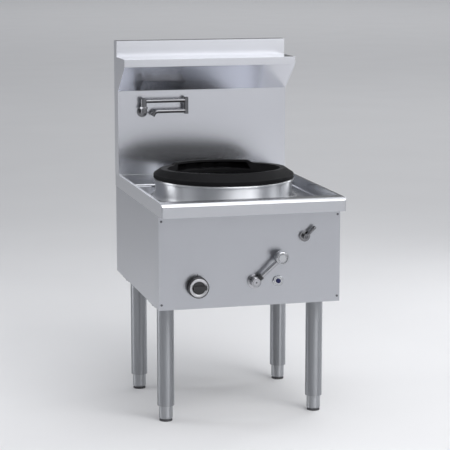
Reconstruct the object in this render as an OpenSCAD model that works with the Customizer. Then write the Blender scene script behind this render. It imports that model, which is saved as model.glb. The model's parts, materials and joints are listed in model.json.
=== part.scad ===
// Single burner wok range on four legs, with a recessed hob, a lift-off wok ring,
// a splashback with a shelf, a folding water tap and the gas and water pipework.
// Origin: on the floor at the centre of the footprint. +X right, +Y to the back, +Z up.

/* [Overall] */
// Width over the hob rim
range_w = 650; // [620:5:760]
// Depth from the front rim to the back of the splashback
range_d = 800; // [790:5:880]
// Height of the hob rim above the floor
hob_h = 800; // [780:5:880]
// Height of the top of the splashback above the floor
total_h = 1300; // [1280:5:1400]
// Thickness of the stainless sheet
sheet_t = 1.5; // [1:0.1:2]

/* [Hob top] */
// Height of the skirt that hangs from the hob rim
skirt_h = 48; // [40:1:50]
// Width of the flat rim along the two sides
rim_w = 10; // [8:0.5:14]
// Depth of the recessed deck below the rim
recess_h = 42; // [36:0.5:42]
// Depth of the flat ledge in front of the deck
ledge_d = 58; // [50:1:66]
// Radius of the rolled front edge
nose_r = 13; // [6:0.5:16]
// Radius of the vertical corners of the skirt
corner_r = 5; // [3:0.5:6]
// Width of the hem turned in under the front skirt
hem_w = 14; // [8:1:18]

/* [Cabinet] */
// Height of the cabinet from its lower edge to the hob rim
cabinet_h = 375; // [360:5:400]
// Depth of the returns at the sides of the front panel
front_return = 55; // [40:1:70]
// Width of the flanges folded on the panels
flange_w = 20; // [14:1:24]
// How far the rear panel is set in from the back
rear_inset = 28; // [26:1:34]
// Size of the square tubes of the base frame
rail_w = 30; // [25:1:34]
// Wall of the square tubes of the base frame
rail_t = 2; // [1.5:0.1:3]
// Thickness of the corner posts, which are steel angles
post_t = 3; // [2:0.5:4]
// Inset of the corner screws from the side edges of the front panel
screw_inset = 9.4; // [8:0.2:12]
// Inset of the corner screws from the lower edge of the skirt and of the panel
screw_drop = 19; // [15:1:24]

/* [Legs] */
// Outside diameter of the leg tubes
leg_d = 60; // [50:1:64]
// Distance of the leg centres from the side of the rim
leg_inset_x = 52.5; // [48:0.5:60]
// Distance of the front leg centres behind the front rim
leg_front_y = 187; // [150:1:200]
// Distance of the rear leg centres in front of the back
leg_rear_y = 161; // [150:1:190]
// Diameter of the adjustable foot
foot_d = 49; // [40:1:52]
// Height of the lower end of the leg tube above the floor
foot_h = 56; // [50:1:70]
// Height of the plastic pad under the foot
pad_h = 8; // [6:1:12]

/* [Burner stand and ring] */
// Distance of the burner centre behind the middle of the range
burner_y = 23; // [10:1:25]
// Outside diameter of the drum that stands on the deck
drum_d = 494; // [480:1:500]
// Outside diameter of the black wok ring
ring_d = 508; // [500:1:514]
// Height of the drum above the hob rim
drum_rise = 25; // [20:1:32]
// Inside diameter of the crest of the wok ring
ring_opening_d = 414; // [400:1:420]
// Height of the wok ring at its front crest, above the drum
ring_h = 41; // [36:1:46]
// Height of the flue hood at the back of the wok ring, above the drum
hood_h = 36; // [33:0.5:36]
// Half of the angle that the flue hood covers at the middle of its height
hood_angle = 43; // [35:1:50]

/* [Splashback] */
// Thickness of the splashback below the shelf
splash_t = 68; // [60:1:72]
// Thickness of the splashback above the shelf
splash_top_t = 50; // [44:1:56]
// Height of the shelf above the hob rim
shelf_rise = 441; // [400:1:450]
// Depth of the shelf in front of the upper splashback
shelf_d = 145; // [120:1:160]
// Height of the shelf's front lip
shelf_lip = 28; // [20:1:36]
// Height of the whole shelf box where it meets the splashback
shelf_drop = 126; // [100:1:140]

/* [Water tap] */
// Distance of the tap's riser to the left of the middle
tap_x = 234; // [200:1:250]
// Height of the wall flange of the tap above the hob rim
tap_rise = 236; // [220:1:260]
// Distance of the tap's arms in front of the splashback
tap_stand = 32; // [30:1:40]
// Length of the upper arm between its two joints
arm_len = 162; // [140:1:180]
// Length of the lower arm from its joint to the spout's bend
spout_len = 108; // [90:1:115]
// Height between the upper and the lower arm
arm_gap = 39; // [36:1:50]
// Diameter of the arm tubes
arm_d = 15; // [12:0.5:16]

/* [Front controls] */
// Gas knob, distance to the left of the middle
knob_x = 190; // [170:1:210]
// Gas knob, height above the lower edge of the cabinet
knob_rise = 78; // [70:1:90]
// Diameter of the gas knob
knob_d = 72; // [60:1:76]
// How far the gas knob stands off the panel
knob_l = 33; // [28:1:40]
// How far the gas knob can be pushed in
knob_push = 4; // [3:0.5:5]
// Gas lever, distance of the hub to the right of the middle
lever_x = 13; // [5:1:20]
// Gas lever, height of the hub above the lower edge of the cabinet
lever_rise = 87; // [80:1:95]
// Length of the gas lever from the hub to the grip
lever_len = 121; // [100:1:130]
// Angle of the gas lever above the horizontal
lever_angle = 44; // [40:1:50]
// Diameter of the lever's grip
grip_d = 46; // [36:1:48]
// Igniter, distance to the right of the middle
igniter_x = 98.5; // [90:0.5:110]
// Igniter, height above the lower edge of the cabinet
igniter_rise = 84; // [78:1:90]
// Diameter of the igniter's push button
button_d = 17; // [12:0.5:18]
// Travel of the igniter's push button
button_travel = 4; // [3:0.5:5]
// Water lever, distance to the right of the middle
water_x = 193; // [185:1:200]
// Water lever, height above the lower edge of the cabinet
water_rise = 237; // [225:1:245]
// Length of the water lever's handle
handle_len = 49; // [36:1:52]

/* [Burner and pipes] */
// Outside diameter of the burner head
burner_d = 184; // [170:1:190]
// Height of the burner's top plate below the hob rim
burner_drop = 188; // [180:1:196]
// Diameter of one jet
jet_d = 18; // [14:1:18]
// Outside diameter of the gas pipe
gas_pipe_d = 21; // [18:0.5:22]
// Outside diameter of the gas inlet thread
gas_inlet_d = 26.4; // [24:0.2:27]
// Distance of the gas inlet to the right of the middle
gas_inlet_x = 250; // [240:1:260]
// Height of the gas and water inlets above the lower edge of the cabinet
inlet_rise = 75; // [72:1:85]
// Outside diameter of the water pipe
water_pipe_d = 15; // [12:0.5:16]
// Outside diameter of the water inlet thread
water_inlet_d = 21; // [19:0.2:22]
// Diameter of the waste pipe
waste_d = 40; // [32:1:42]

/* [Hidden] */
$fn = 48;
// Overrun of every cut past the face it opens
over = 1;
// Gap between pieces that sit next to each other without a fit
seat_gap = 0.3;
// Gap between sheet panels that slide inside each other
sheet_gap = 0.1;
// Radial clearance of a turning or sliding fit
run_gap = 0.05;
// Radial clearance of a screw or pipe in its hole
hole_gap = 0.4;

// Outer planes of the range
half_w = range_w / 2;
front_y = -range_d / 2;
back_y = range_d / 2;
skirt_z = hob_h - skirt_h;
deck_z = hob_h - recess_h;
deck_under_z = deck_z - sheet_t;
rim_under_z = hob_h - sheet_t;
splash_y = back_y - splash_t;
splash_top_y = back_y - splash_top_t;

// Faces of the recess in the hob
recess_x = half_w - rim_w;
recess_y = front_y + ledge_d + sheet_t;

// Planes of the cabinet
cabinet_z = hob_h - cabinet_h;
panel_y = front_y + ledge_d;
panel_x = half_w - sheet_t - sheet_gap;
skin_x = panel_x - sheet_t;
panel_in_y = panel_y + sheet_t;
rear_y = back_y - rear_inset;
frame_z = cabinet_z + sheet_t;
frame_top_z = frame_z + rail_w;

// Places of the legs
leg_x = half_w - leg_inset_x;
leg_ys = [front_y + leg_front_y, back_y - leg_rear_y];
leg_wall = 1.5;
leg_plate_t = 6;
leg_plate_in = 62;
leg_plate_d = 110;
leg_plate_z = frame_z - leg_plate_t;
leg_plate_edge = 0.9;
leg_bolt_d = 8;
leg_bolt_head_d = 13;
leg_bolt_head_h = 5.3;
leg_bolt_out = 42;
plug_h = 12;
stem_d = 16;
foot_stem_l = 50;
foot_chamfer = 3;
pad_inset = 1.5;

// Burner axis levels
drum_z = hob_h + drum_rise;
drum_r = drum_d / 2;
drum_t = 2;
drum_roll_r = 4;
drum_lip_r = 222;
drum_cove_r = 12;
drum_cove_steps = 4;
deck_hole_r = 215;
ring_r = ring_d / 2;
crest_in_r = ring_opening_d / 2;
crest_w = 6;
crest_r = crest_in_r + crest_w;
ring_edge_h = 17;
ring_edge_soft = 4;
ring_skirt_drop = 12;
ring_skirt_gap = 6;
ring_throat_in = 11;
ring_throat_r = crest_in_r - ring_throat_in;
ring_wall = 6;
crest_tilt = 2.2;
crest_mid_drop = 8;
flue_lintel = 7;
flue_floor = 4;
flue_back = 10;
flue_out_r = ring_r - flue_back;
flue_foot_w = 284;
flue_top_w = 254;
hood_flank_share = 1.75;
hood_mid_drop = 5;
port_w = 46;
port_l = 11;
port_pitch_angle = 15;

// Lining of the flame chamber
liner_flange_r = 238;
liner_flange_t = 6;
liner_neck_r = 212;
liner_collar_r = 208;
liner_in_r = 198;
liner_collar_h = 50;
liner_collar_z = deck_z + liner_collar_h;
liner_mouth_r = 116;
liner_wall = 10;
liner_mouth_drop = 160;
liner_mouth_z = hob_h - liner_mouth_drop;

// Burner head with its mixing tube
burner_r = burner_d / 2;
plate_z = hob_h - burner_drop;
plate_t = 8;
plate_soft = 2;
cup_h = 56;
cup_r = 60;
cup_wall = 6;
cup_z = plate_z - plate_t - cup_h;
horn_rise = 26;
horn_z = cup_z + horn_rise;
horn_r = 22;
horn_bore_r = 17;
horn_bell_r = 29;
horn_bell_l = 20;
horn_lip = 3;
horn_reach = 170;
horn_end_y = burner_y - horn_reach;
jet_ring_rs = [32, 66];
jet_ring_counts = [6, 12];
jet_h = 34;
jet_cone_h = 9;
jet_tip_d = 10;
jet_bore_d = 4;
jet_spigot_d = 10;
bracket_w = 40;
bracket_t = 6;
bracket_drop = 22;
pedestal_r = 25;
injector_gap = 16;
injector_r = 9;
injector_l = 26;
shutter_r = 34;
shutter_t = 3;
window_in = 5;
window_out = 6;
window_start = 30;
window_angle = 100;
injector_hex_r = 13.5;

// Controls
control_y = panel_in_y;
pipe_in = 36;
pipe_y = control_y + pipe_in;
manifold_rise = 18.5;
manifold_z = frame_top_z + manifold_rise;
knob_z = cabinet_z + knob_rise;
lever_z = cabinet_z + lever_rise;
igniter_z = cabinet_z + igniter_rise;
water_z = cabinet_z + water_rise;
inlet_z = cabinet_z + inlet_rise;
inlet_stub = 2;
inlet_thread_l = 22;
inlet_y = back_y - inlet_stub - inlet_thread_l;
spindle_r = 4;
spindle_in = 30;
knob_gap = knob_push + 2;
knob_ring_t = 6;
knob_hub_r = 22;
knob_grip_w = 15;
knob_grip_h = 7;
knob_grip_l = 27;
knob_skirt_share = 0.985;
knob_trim_r = 33;
knob_rim_drop = 1.5;
knob_grip_in = 2;
knob_ring_soft = 2;
knob_ring_lip = 3;
knob_ring_dish = 1;
valve_r = 17;
valve_back = 24;
valve_hex_wall = 3;
pilot_valve_r = 15;
stem_hole_r = 9;
lever_shaft_r = 7;
lever_hub_r = 17;
lever_hub_l = 32;
lever_hub_soft = 2;
lever_foot_r = 24;
lever_foot_t = 7;
lever_foot_gap = 0.5;
lever_groove_r = 15.5;
lever_groove_l = 4;
lever_dimple_r = 3;
lever_dimple_h = 2;
lever_rod_r = 7.5;
lever_socket_r = 10;
lever_socket_l = 32;
lever_lean = 20;
lever_rod_in = 13;
lever_rod_shift = 2;
grip_l = 30;
grip_soft = 5;
grip_groove_in_r = 13.5;
grip_groove_out_r = 18;
grip_groove_depth = 2.5;
bezel_r = 19;
bezel_t = 6;
bezel_soft = 2;
barrel_r = 13;
barrel_l = 48;
barrel_nut_r = 18;
barrel_nut_t = 6;
button_out = 4;
button_l = 16;
button_soft = 1;
water_flange_r = 19;
water_flange_l = 9;
water_hub_r = 9;
water_hub_l = 16;
water_shaft_r = 5;
handle_r = 6;
water_body_r = 15;
water_union_l = 8;
water_hex_wall = 4;
water_shaft_in = 28;

// Pipe routes
water_run_drop = 60;
water_run_z = deck_z - water_run_drop;
splash_pipe_in = 20;
splash_pipe_y = splash_y + splash_pipe_in;
tap_z = hob_h + tap_rise;
arm_rise = 43;
arm_z = tap_z + arm_rise;
spout_z = arm_z - arm_gap;
tap_y = splash_y - tap_stand;
elbow_share = 1.22;
rounding_share = 1.03;
riser_r = 11;
hub_r = 11;
pivot_r = 6;
hub_h = 23;
hub_cap_t = 4;
hub_soft = 3;
neck_slim = 1;
joint_r = 8.5;
wall_flange_r = 19.5;
wall_flange_t = 5;
spout_bend_r = 18;
spout_bend_angle = 55;
spout_tip_l = 6;
aerator_r = 8.5;
bend_slim = 0.1;
bend_in = 1;
aerator_l = 6;

// Waste outlet in the deck
waste_from_side = 135;
waste_from_splash = 29;
waste_x = -recess_x + waste_from_side;
waste_y = splash_y - waste_from_splash;
waste_flange_r = 26;
waste_flange_t = 2;
waste_spigot_l = 22;
waste_spigot_step = 1;
waste_end_z = cabinet_z - waste_spigot_l;
waste_slot_w = 3;
waste_slot_l = 22;
waste_slot_pitch = 6;

SIDES = [-1, 1];

// Square column between two corners
module block(low, high) {
    translate(low) cube(high - low);
}

// Round bar between two points
module bar(from, to, r) {
    d = to - from;
    len = norm(d);
    translate(from) rotate([0, acos(d.z / len), atan2(d.y, d.x)]) cylinder(h = len, r = r);
}

// Bar along +Y that starts at one point
module bar_y(from, len, r) {
    translate(from) rotate([-90, 0, 0]) cylinder(h = len, r = r);
}

// Pipe along a list of points, with a round elbow fitting at each turn
module pipe_run(points, r) {
    for (i = [0:len(points) - 2]) bar(points[i], points[i + 1], r);
    for (i = [1:len(points) - 2]) translate(points[i]) sphere(r = r * elbow_share);
}

// Thin bent tube: a smooth curve through the points, swept with a round section
function curve_point(p0, p1, p2, p3, t) = 0.5 * ((2 * p1) + (p2 - p0) * t
    + (2 * p0 - 5 * p1 + 4 * p2 - p3) * t * t + (3 * p1 - p0 - 3 * p2 + p3) * t * t * t);
function smooth_path(pts, steps) = let (n = len(pts))
    [for (i = [0:n - 2], s = [0:steps - 1])
        curve_point(pts[max(i - 1, 0)], pts[i], pts[i + 1], pts[min(i + 2, n - 1)], s / steps),
     pts[n - 1]];
function unit(v) = v / norm(v);
module thin_tube(points, r, steps = 4, sides = 8) {
    path = smooth_path(points, steps);
    n = len(path);
    ref = unit([0.31, 0.17, 0.93]);
    rings = [for (i = [0:n - 1]) let (
        along = unit(path[min(i + 1, n - 1)] - path[max(i - 1, 0)]),
        side = unit(cross(ref, along)),
        other = cross(along, side))
        for (k = [0:sides - 1]) let (a = 360 * k / sides) path[i] + r * (cos(a) * side + sin(a) * other)];
    walls = [for (i = [0:n - 2], k = [0:sides - 1]) let (m = (k + 1) % sides)
        each [[i * sides + k, (i + 1) * sides + m, i * sides + m],
              [i * sides + k, (i + 1) * sides + k, (i + 1) * sides + m]]];
    first_cap = [[for (k = [0:sides - 1]) k]];
    last_cap = [[for (k = [sides - 1:-1:0]) (n - 1) * sides + k]];
    polyhedron(points = rings, faces = concat(walls, first_cap, last_cap));
}

// Square tube along X or Y
module rail_x(y, half_len) {
    color("gray") difference() {
        block([-half_len, y, frame_z], [half_len, y + rail_w, frame_top_z]);
        block([-half_len - over, y + rail_t, frame_z + rail_t],
              [half_len + over, y + rail_w - rail_t, frame_top_z - rail_t]);
        leg_bolt_holes();
        for (p = panel_screw_places) bar_y([p.x, panel_y, p.y], 2 * post_t, screw_d / 2 + hole_gap);
    }
}
module rail_y(side) {
    x = side > 0 ? skin_x - rail_w : -skin_x;
    y0 = panel_in_y + rail_w;
    y1 = rear_y - rail_w;
    color("gray") difference() {
        block([x, y0, frame_z], [x + rail_w, y1, frame_top_z]);
        block([x + rail_t, y0 - over, frame_z + rail_t],
              [x + rail_w - rail_t, y1 + over, frame_top_z - rail_t]);
        leg_bolt_holes();
    }
}

// Places of the two bolts of each leg plate
leg_bolt_places = [for (s = SIDES, y = leg_ys, o = SIDES) [s * leg_x + o * leg_bolt_out, y]];
module leg_bolt_holes() {
    for (p = leg_bolt_places)
        translate([p.x, p.y, leg_plate_z - over])
            cylinder(h = leg_plate_t + rail_t + 2 * over, r = leg_bolt_d / 2 + hole_gap);
}

// Leg: tube, top plate and the threaded plug that carries the foot
module leg(side, y) {
    x = side * leg_x;
    plate_out = skin_x - leg_plate_edge;
    plate_in = leg_x - leg_plate_in;
    color("silver") difference() {
        union() {
            translate([x, y, foot_h]) cylinder(h = leg_plate_z - foot_h, r = leg_d / 2);
            block([min(side * plate_in, side * plate_out), y - leg_plate_d / 2, leg_plate_z],
                  [max(side * plate_in, side * plate_out), y + leg_plate_d / 2, frame_z]);
        }
        difference() {
            translate([x, y, foot_h - over])
                cylinder(h = leg_plate_z - foot_h + over, r = leg_d / 2 - leg_wall);
            translate([x, y, foot_h + 2 * pad_h]) cylinder(h = plug_h, r = leg_d / 2);
        }
        translate([x, y, foot_h]) cylinder(h = foot_stem_l, r = stem_d / 2 + run_gap);
        leg_bolt_holes();
    }
}

// Adjustable foot: polished sleeve on a threaded stem
module foot(side, y) {
    sleeve_top = foot_h + 2 * pad_h - seat_gap;
    color("gainsboro") translate([side * leg_x, y, 0]) {
        translate([0, 0, pad_h + foot_chamfer])
            cylinder(h = sleeve_top - pad_h - foot_chamfer, r = foot_d / 2);
        translate([0, 0, pad_h])
            cylinder(h = foot_chamfer, r1 = foot_d / 2 - foot_chamfer, r2 = foot_d / 2);
        translate([0, 0, sleeve_top]) cylinder(h = foot_stem_l, r = stem_d / 2);
    }
}

// Plastic pad under the foot
module pad(side, y) {
    r = foot_d / 2 - pad_inset;
    color("dimgray") translate([side * leg_x, y, 0]) {
        cylinder(h = pad_h / 2, r = r);
        translate([0, 0, pad_h / 2]) cylinder(h = pad_h / 2, r1 = r, r2 = foot_d / 2 - foot_chamfer);
    }
}

// Bolts that hold the leg plates to the frame
module leg_bolts() {
    color("silver") for (p = leg_bolt_places) translate([p.x, p.y, leg_plate_z]) {
        translate([0, 0, -leg_bolt_head_h]) cylinder(h = leg_bolt_head_h, d = leg_bolt_head_d, $fn = 6);
        cylinder(h = leg_plate_t + rail_t + leg_bolt_head_h, d = leg_bolt_d);
    }
}

// Steel angles in the four corners of the cabinet
module corner_posts() {
    front_top = deck_under_z - sheet_t;
    color("gray") difference() {
        for (s = SIDES) {
            mirror([s < 0 ? 1 : 0, 0, 0]) {
                block([skin_x - rail_w, panel_in_y, frame_top_z], [skin_x, panel_in_y + post_t, front_top]);
                block([skin_x - post_t, panel_in_y, frame_top_z], [skin_x, panel_in_y + rail_w, front_top]);
                block([skin_x - rail_w, rear_y - post_t, frame_top_z], [skin_x, rear_y, rim_under_z]);
                block([skin_x - post_t, rear_y - rail_w, frame_top_z], [skin_x, rear_y, rim_under_z]);
            }
        }
        for (p = panel_screw_places) bar_y([p.x, panel_y - over, p.y], 2 * rail_w, screw_d / 2 + hole_gap);
    }
}

// Front panel: a tray with deep side returns and narrow flanges above and below
screw_d = 4;
screw_head_d = 8;
screw_head_h = 2.4;
screw_socket_d = 3.2;
panel_screw_places = [for (s = SIDES, z = [cabinet_z + screw_drop, skirt_z - screw_drop])
    [s * (panel_x - screw_inset), z]];
module front_panel() {
    top = deck_under_z;
    color("lightgray") difference() {
        block([-panel_x, panel_y, cabinet_z], [panel_x, panel_y + front_return, top]);
        block([-skin_x, panel_in_y, cabinet_z + sheet_t],
              [skin_x, panel_y + front_return + over, top - sheet_t]);
        block([-skin_x, panel_y + flange_w, cabinet_z - over],
              [skin_x, panel_y + front_return + over, top + over]);
        for (p = panel_screw_places)
            bar_y([p.x, panel_y - over, p.y], 2 * over + sheet_t, screw_d / 2 + hole_gap);
        bar_y([-knob_x, panel_y - over, knob_z], 2 * over + sheet_t, stem_hole_r);
        bar_y([lever_x, panel_y - over, lever_z], 2 * over + sheet_t, stem_hole_r);
        bar_y([water_x, panel_y - over, water_z], 2 * over + sheet_t, stem_hole_r);
        bar_y([igniter_x, panel_y - over, igniter_z], 2 * over + sheet_t, barrel_r + hole_gap);
    }
}

// Corner screws of the front panel
module panel_screws() {
    color("dimgray") for (p = panel_screw_places) {
        translate([p.x, panel_y, p.y]) rotate([90, 0, 0]) {
            difference() {
                rotate_extrude() intersection() {
                    square([screw_head_d / 2, screw_head_h]);
                    translate([0, screw_head_h - screw_head_d]) circle(r = screw_head_d);
                }
                translate([0, 0, screw_head_h / 2]) cylinder(h = screw_head_h, d = screw_socket_d, $fn = 6);
            }
        }
        bar_y([p.x, panel_y, p.y], sheet_t + post_t + screw_head_h, screw_d / 2);
    }
}

// Side panel between the front panel's return and the rounded rear corner, with a rear hem
module side_panel(side) {
    y0 = panel_y + front_return + seat_gap;
    y1 = back_y - corner_r;
    color("darkgray") mirror([side < 0 ? 1 : 0, 0, 0]) {
        block([skin_x, y0, cabinet_z], [panel_x, y1, rim_under_z]);
        block([panel_x - hem_w, y1 - sheet_t, cabinet_z], [panel_x, y1, rim_under_z]);
    }
}

// Rear panel, with air slots and the holes for the inlets
slot_w = 8;
slot_l = 90;
slot_pitch = 26;
slot_rows = 4;
slot_top_drop = 110;
slot_column_pitch = 144;
module rear_panel() {
    x = skin_x - sheet_gap;
    color("darkgray") difference() {
        union() {
            block([-x, rear_y, cabinet_z], [x, rear_y + sheet_t, rim_under_z]);
            block([-x, rear_y - flange_w, cabinet_z], [x, rear_y + sheet_t, frame_z]);
        }
        bar_y([gas_inlet_x, rear_y - over, inlet_z], 2 * over + sheet_t, gas_inlet_d / 2 + hole_gap);
        bar_y([water_x, rear_y - over, inlet_z], 2 * over + sheet_t, water_inlet_d / 2 + hole_gap);
        for (i = [0:slot_rows - 1], s = [-1, 0, 1])
            translate([s * slot_column_pitch, rear_y - over, deck_z - slot_top_drop - i * slot_pitch]) {
                block([-slot_l / 2, 0, -slot_w / 2], [slot_l / 2, sheet_t + 2 * over, slot_w / 2]);
                for (e = SIDES) bar_y([e * slot_l / 2, 0, 0], sheet_t + 2 * over, slot_w / 2);
            }
    }
}

// Side view of the hob skin, drawn as depth and height
module hob_section(inset) {
    r = nose_r - inset;
    z0 = inset > 0 ? skirt_z - over : skirt_z;
    y0 = front_y + inset;
    y1 = back_y - inset;
    top = hob_h - inset;
    difference() {
        translate([y0, z0]) square([y1 - y0, top - z0]);
        translate([y0 - over, top - r]) square([r + over, r + over]);
    }
    translate([y0 + r, top - r]) circle(r = r);
}

// Plan of the hob skin with rounded corners
module hob_plan(inset) {
    r = max(corner_r - inset, sheet_t);
    x = half_w - inset;
    y0 = front_y + inset;
    y1 = back_y - inset;
    translate([-x + r, y0]) square([2 * x - 2 * r, y1 - y0]);
    translate([-x, y0 + r]) square([2 * x, y1 - y0 - 2 * r]);
    for (s = SIDES, y = [y0 + r, y1 - r]) translate([s * (x - r), y]) circle(r = r);
}
module hob_body(inset) {
    intersection() {
        translate([-half_w - over, 0, 0]) rotate([90, 0, 90])
            linear_extrude(height = range_w + 2 * over) hob_section(inset);
        translate([0, 0, skirt_z - 2 * over]) linear_extrude(height = skirt_h + 4 * over) hob_plan(inset);
    }
}

// Hob top: skirt, rolled front edge, ledges and the recessed deck in one skin
module hob_top() {
    color("lightgray") difference() {
        union() {
            difference() {
                hob_body(0);
                hob_body(sheet_t);
            }
            block([-recess_x - sheet_t, recess_y - sheet_t, deck_under_z],
                  [recess_x + sheet_t, splash_y + sheet_t, rim_under_z + sheet_t / 2]);
            block([-half_w + corner_r, front_y + sheet_t / 2, skirt_z],
                  [half_w - corner_r, front_y + hem_w, skirt_z + sheet_t]);
        }
        block([-recess_x, recess_y, deck_z], [recess_x, splash_y, hob_h + over]);
        translate([0, burner_y, deck_under_z - over])
            cylinder(h = sheet_t + 2 * over, r = deck_hole_r, $fn = 96);
        translate([waste_x, waste_y, deck_under_z - over])
            cylinder(h = sheet_t + 2 * over, r = waste_d / 2 + hole_gap);
        translate([water_x, splash_pipe_y, rim_under_z - over])
            cylinder(h = sheet_t + 2 * over, r = water_pipe_d / 2 + 2 * hole_gap);
    }
}

// Drum on the deck, with a coved foot and a rolled top edge
module burner_drum() {
    inner = drum_r - drum_t;
    cove = [for (i = [0:drum_cove_steps]) let (a = 90 * i / drum_cove_steps)
        [drum_r + drum_cove_r * (1 - sin(a)), deck_z + drum_t + drum_cove_r * (1 - cos(a))]];
    color("silver") translate([0, burner_y, 0]) rotate_extrude($fn = 96) {
        polygon(concat([[inner, deck_z], [drum_r + drum_cove_r, deck_z]], cove,
            [[drum_r, drum_z - drum_roll_r], [inner, drum_z - drum_roll_r]]));
        translate([inner, drum_z - drum_roll_r - drum_t])
            square([drum_t, drum_roll_r + drum_t]);
        translate([drum_lip_r, drum_z - drum_t]) square([ring_r - drum_roll_r - drum_lip_r, drum_t]);
        difference() {
            translate([ring_r - drum_roll_r, drum_z - drum_roll_r]) circle(r = drum_roll_r, $fn = 24);
            translate([ring_r - drum_roll_r, drum_z - drum_roll_r])
                circle(r = drum_roll_r - drum_t, $fn = 24);
        }
    }
}

// Height of the ring's sloping top above the drum at a radius
function ring_slope(r) = ring_h
    - (ring_h - ring_edge_h) * (r - crest_r - ring_edge_soft) / (ring_r - crest_r - 2 * ring_edge_soft);

// Solid body of the wok ring as a turned section
module ring_body() {
    rotate_extrude($fn = 120) polygon([
        [drum_lip_r - ring_skirt_gap, 0],
        [ring_r - ring_edge_soft / 2, 0],
        [ring_r, ring_edge_soft / 2],
        [ring_r, ring_edge_h - ring_edge_soft],
        [ring_r - ring_edge_soft / 3, ring_edge_h - ring_edge_soft / 3],
        [ring_r - ring_edge_soft, ring_edge_h],
        [crest_r + ring_edge_soft, ring_h - ring_edge_soft / 3],
        [crest_r, ring_h],
        [crest_in_r, ring_h - ring_edge_soft / 3],
        [crest_in_r - ring_edge_soft / 2, ring_h - ring_edge_soft],
        [ring_throat_r, 0],
        [ring_throat_r, -ring_skirt_drop],
        [drum_lip_r - ring_skirt_gap, -ring_skirt_drop]
    ]);
}

// Black wok ring: the crest falls towards the back, where a hood with sloping flanks covers the flue
function hood_half_w(z) = crest_r * sin(hood_angle) + (hood_h - hood_mid_drop - z) * hood_flank_share;
module wok_ring() {
    reach = 2 * ring_r;
    top = 2 * ring_h;
    mouth_y = crest_in_r * cos(hood_angle);
    color([0.08, 0.08, 0.08]) translate([0, burner_y, drum_z + seat_gap]) difference() {
        ring_body();
        // Falling crest, left out over the hood
        difference() {
            translate([0, 0, ring_h - crest_mid_drop]) rotate([-crest_tilt, 0, 0])
                translate([-reach, -reach, 0]) cube([2 * reach, 2 * reach, ring_h]);
            translate([0, reach, 0]) rotate([90, 0, 0]) linear_extrude(height = reach) polygon([
                [-hood_half_w(0), 0], [hood_half_w(0), 0], [hood_half_w(top), top], [-hood_half_w(top), top]
            ]);
        }
        // Level top of the hood
        translate([-reach, 0, hood_h]) cube([2 * reach, reach, ring_h]);
        // Flue channel behind the mouth, under a roof that follows the slope
        intersection() {
            rotate_extrude($fn = 120) polygon([
                [ring_throat_r - ring_wall, flue_floor],
                [flue_out_r, flue_floor],
                [flue_out_r, ring_slope(flue_out_r) - flue_lintel],
                [crest_r + ring_edge_soft, hood_h - flue_lintel],
                [ring_throat_r - ring_wall, hood_h - flue_lintel]
            ]);
            translate([0, ring_r, 0]) rotate([90, 0, 0]) linear_extrude(height = ring_r - mouth_y / 2)
                polygon([
                    [-flue_foot_w / 2, 0], [flue_foot_w / 2, 0],
                    [flue_top_w / 2, ring_h], [-flue_top_w / 2, ring_h]
                ]);
        }
        // Outlet slots through the roof, behind the crest of the hood
        for (k = [-1, 0, 1]) rotate([0, 0, k * port_pitch_angle])
            translate([-port_w / 2, flue_out_r - port_l, flue_floor + over])
                cube([port_w, port_l - over, ring_h]);
    }
}

// Cast lining of the flame chamber, hung by its flange on the deck
module chamber_liner() {
    out = liner_wall;
    color([0.25, 0.24, 0.23]) translate([0, burner_y, 0]) rotate_extrude($fn = 96) polygon([
        [liner_in_r, liner_collar_z], [liner_in_r, deck_z],
        [liner_mouth_r, liner_mouth_z], [liner_mouth_r + out, liner_mouth_z - out / 2],
        [liner_neck_r, deck_z - out], [liner_neck_r, deck_z],
        [liner_flange_r, deck_z], [liner_flange_r, deck_z + liner_flange_t],
        [liner_neck_r, deck_z + liner_flange_t], [liner_collar_r, liner_collar_z]
    ]);
}

// Places of the jets on the burner's top plate
jet_places = concat([[0, 0]], [for (k = [0:len(jet_ring_rs) - 1], i = [0:jet_ring_counts[k] - 1])
    let (a = 360 * i / jet_ring_counts[k]) jet_ring_rs[k] * [cos(a), sin(a)]]);

// Burner head: cup, top plate and the mixing tube that runs to the front
module burner_head() {
    color([0.2, 0.2, 0.2]) difference() {
        union() {
            translate([0, burner_y, 0]) rotate_extrude() polygon([
                [0, cup_z], [cup_r - cup_wall, cup_z], [cup_r, cup_z + cup_wall],
                [cup_r, cup_z + cup_h - 2 * cup_wall], [burner_r, plate_z - plate_t],
                [burner_r, plate_z - plate_soft], [burner_r - plate_soft, plate_z], [0, plate_z]
            ]);
            bar_y([lever_x, horn_end_y, horn_z], burner_y - horn_end_y, horn_r);
            translate([lever_x, horn_end_y, horn_z]) rotate([-90, 0, 0])
                cylinder(h = horn_bell_l, r1 = horn_bell_r, r2 = horn_r);
        }
        translate([0, burner_y, 0]) rotate_extrude() polygon([
            [0, cup_z + cup_wall], [cup_r - cup_wall, cup_z + cup_wall],
            [cup_r - cup_wall, cup_z + cup_h - cup_wall],
            [burner_r - 2 * cup_wall, plate_z - plate_t], [0, plate_z - plate_t]
        ]);
        bar_y([lever_x, horn_end_y - over, horn_z], burner_y - horn_end_y + over, horn_bore_r);
        translate([lever_x, horn_end_y - over, horn_z]) rotate([-90, 0, 0])
            cylinder(h = horn_bell_l + over, r1 = horn_bell_r - horn_lip, r2 = horn_bore_r);
        for (p = jet_places) translate([p.x, burner_y + p.y, plate_z - plate_t - over])
            cylinder(h = plate_t + 2 * over, r = jet_spigot_d / 2 + run_gap);
    }
}

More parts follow.
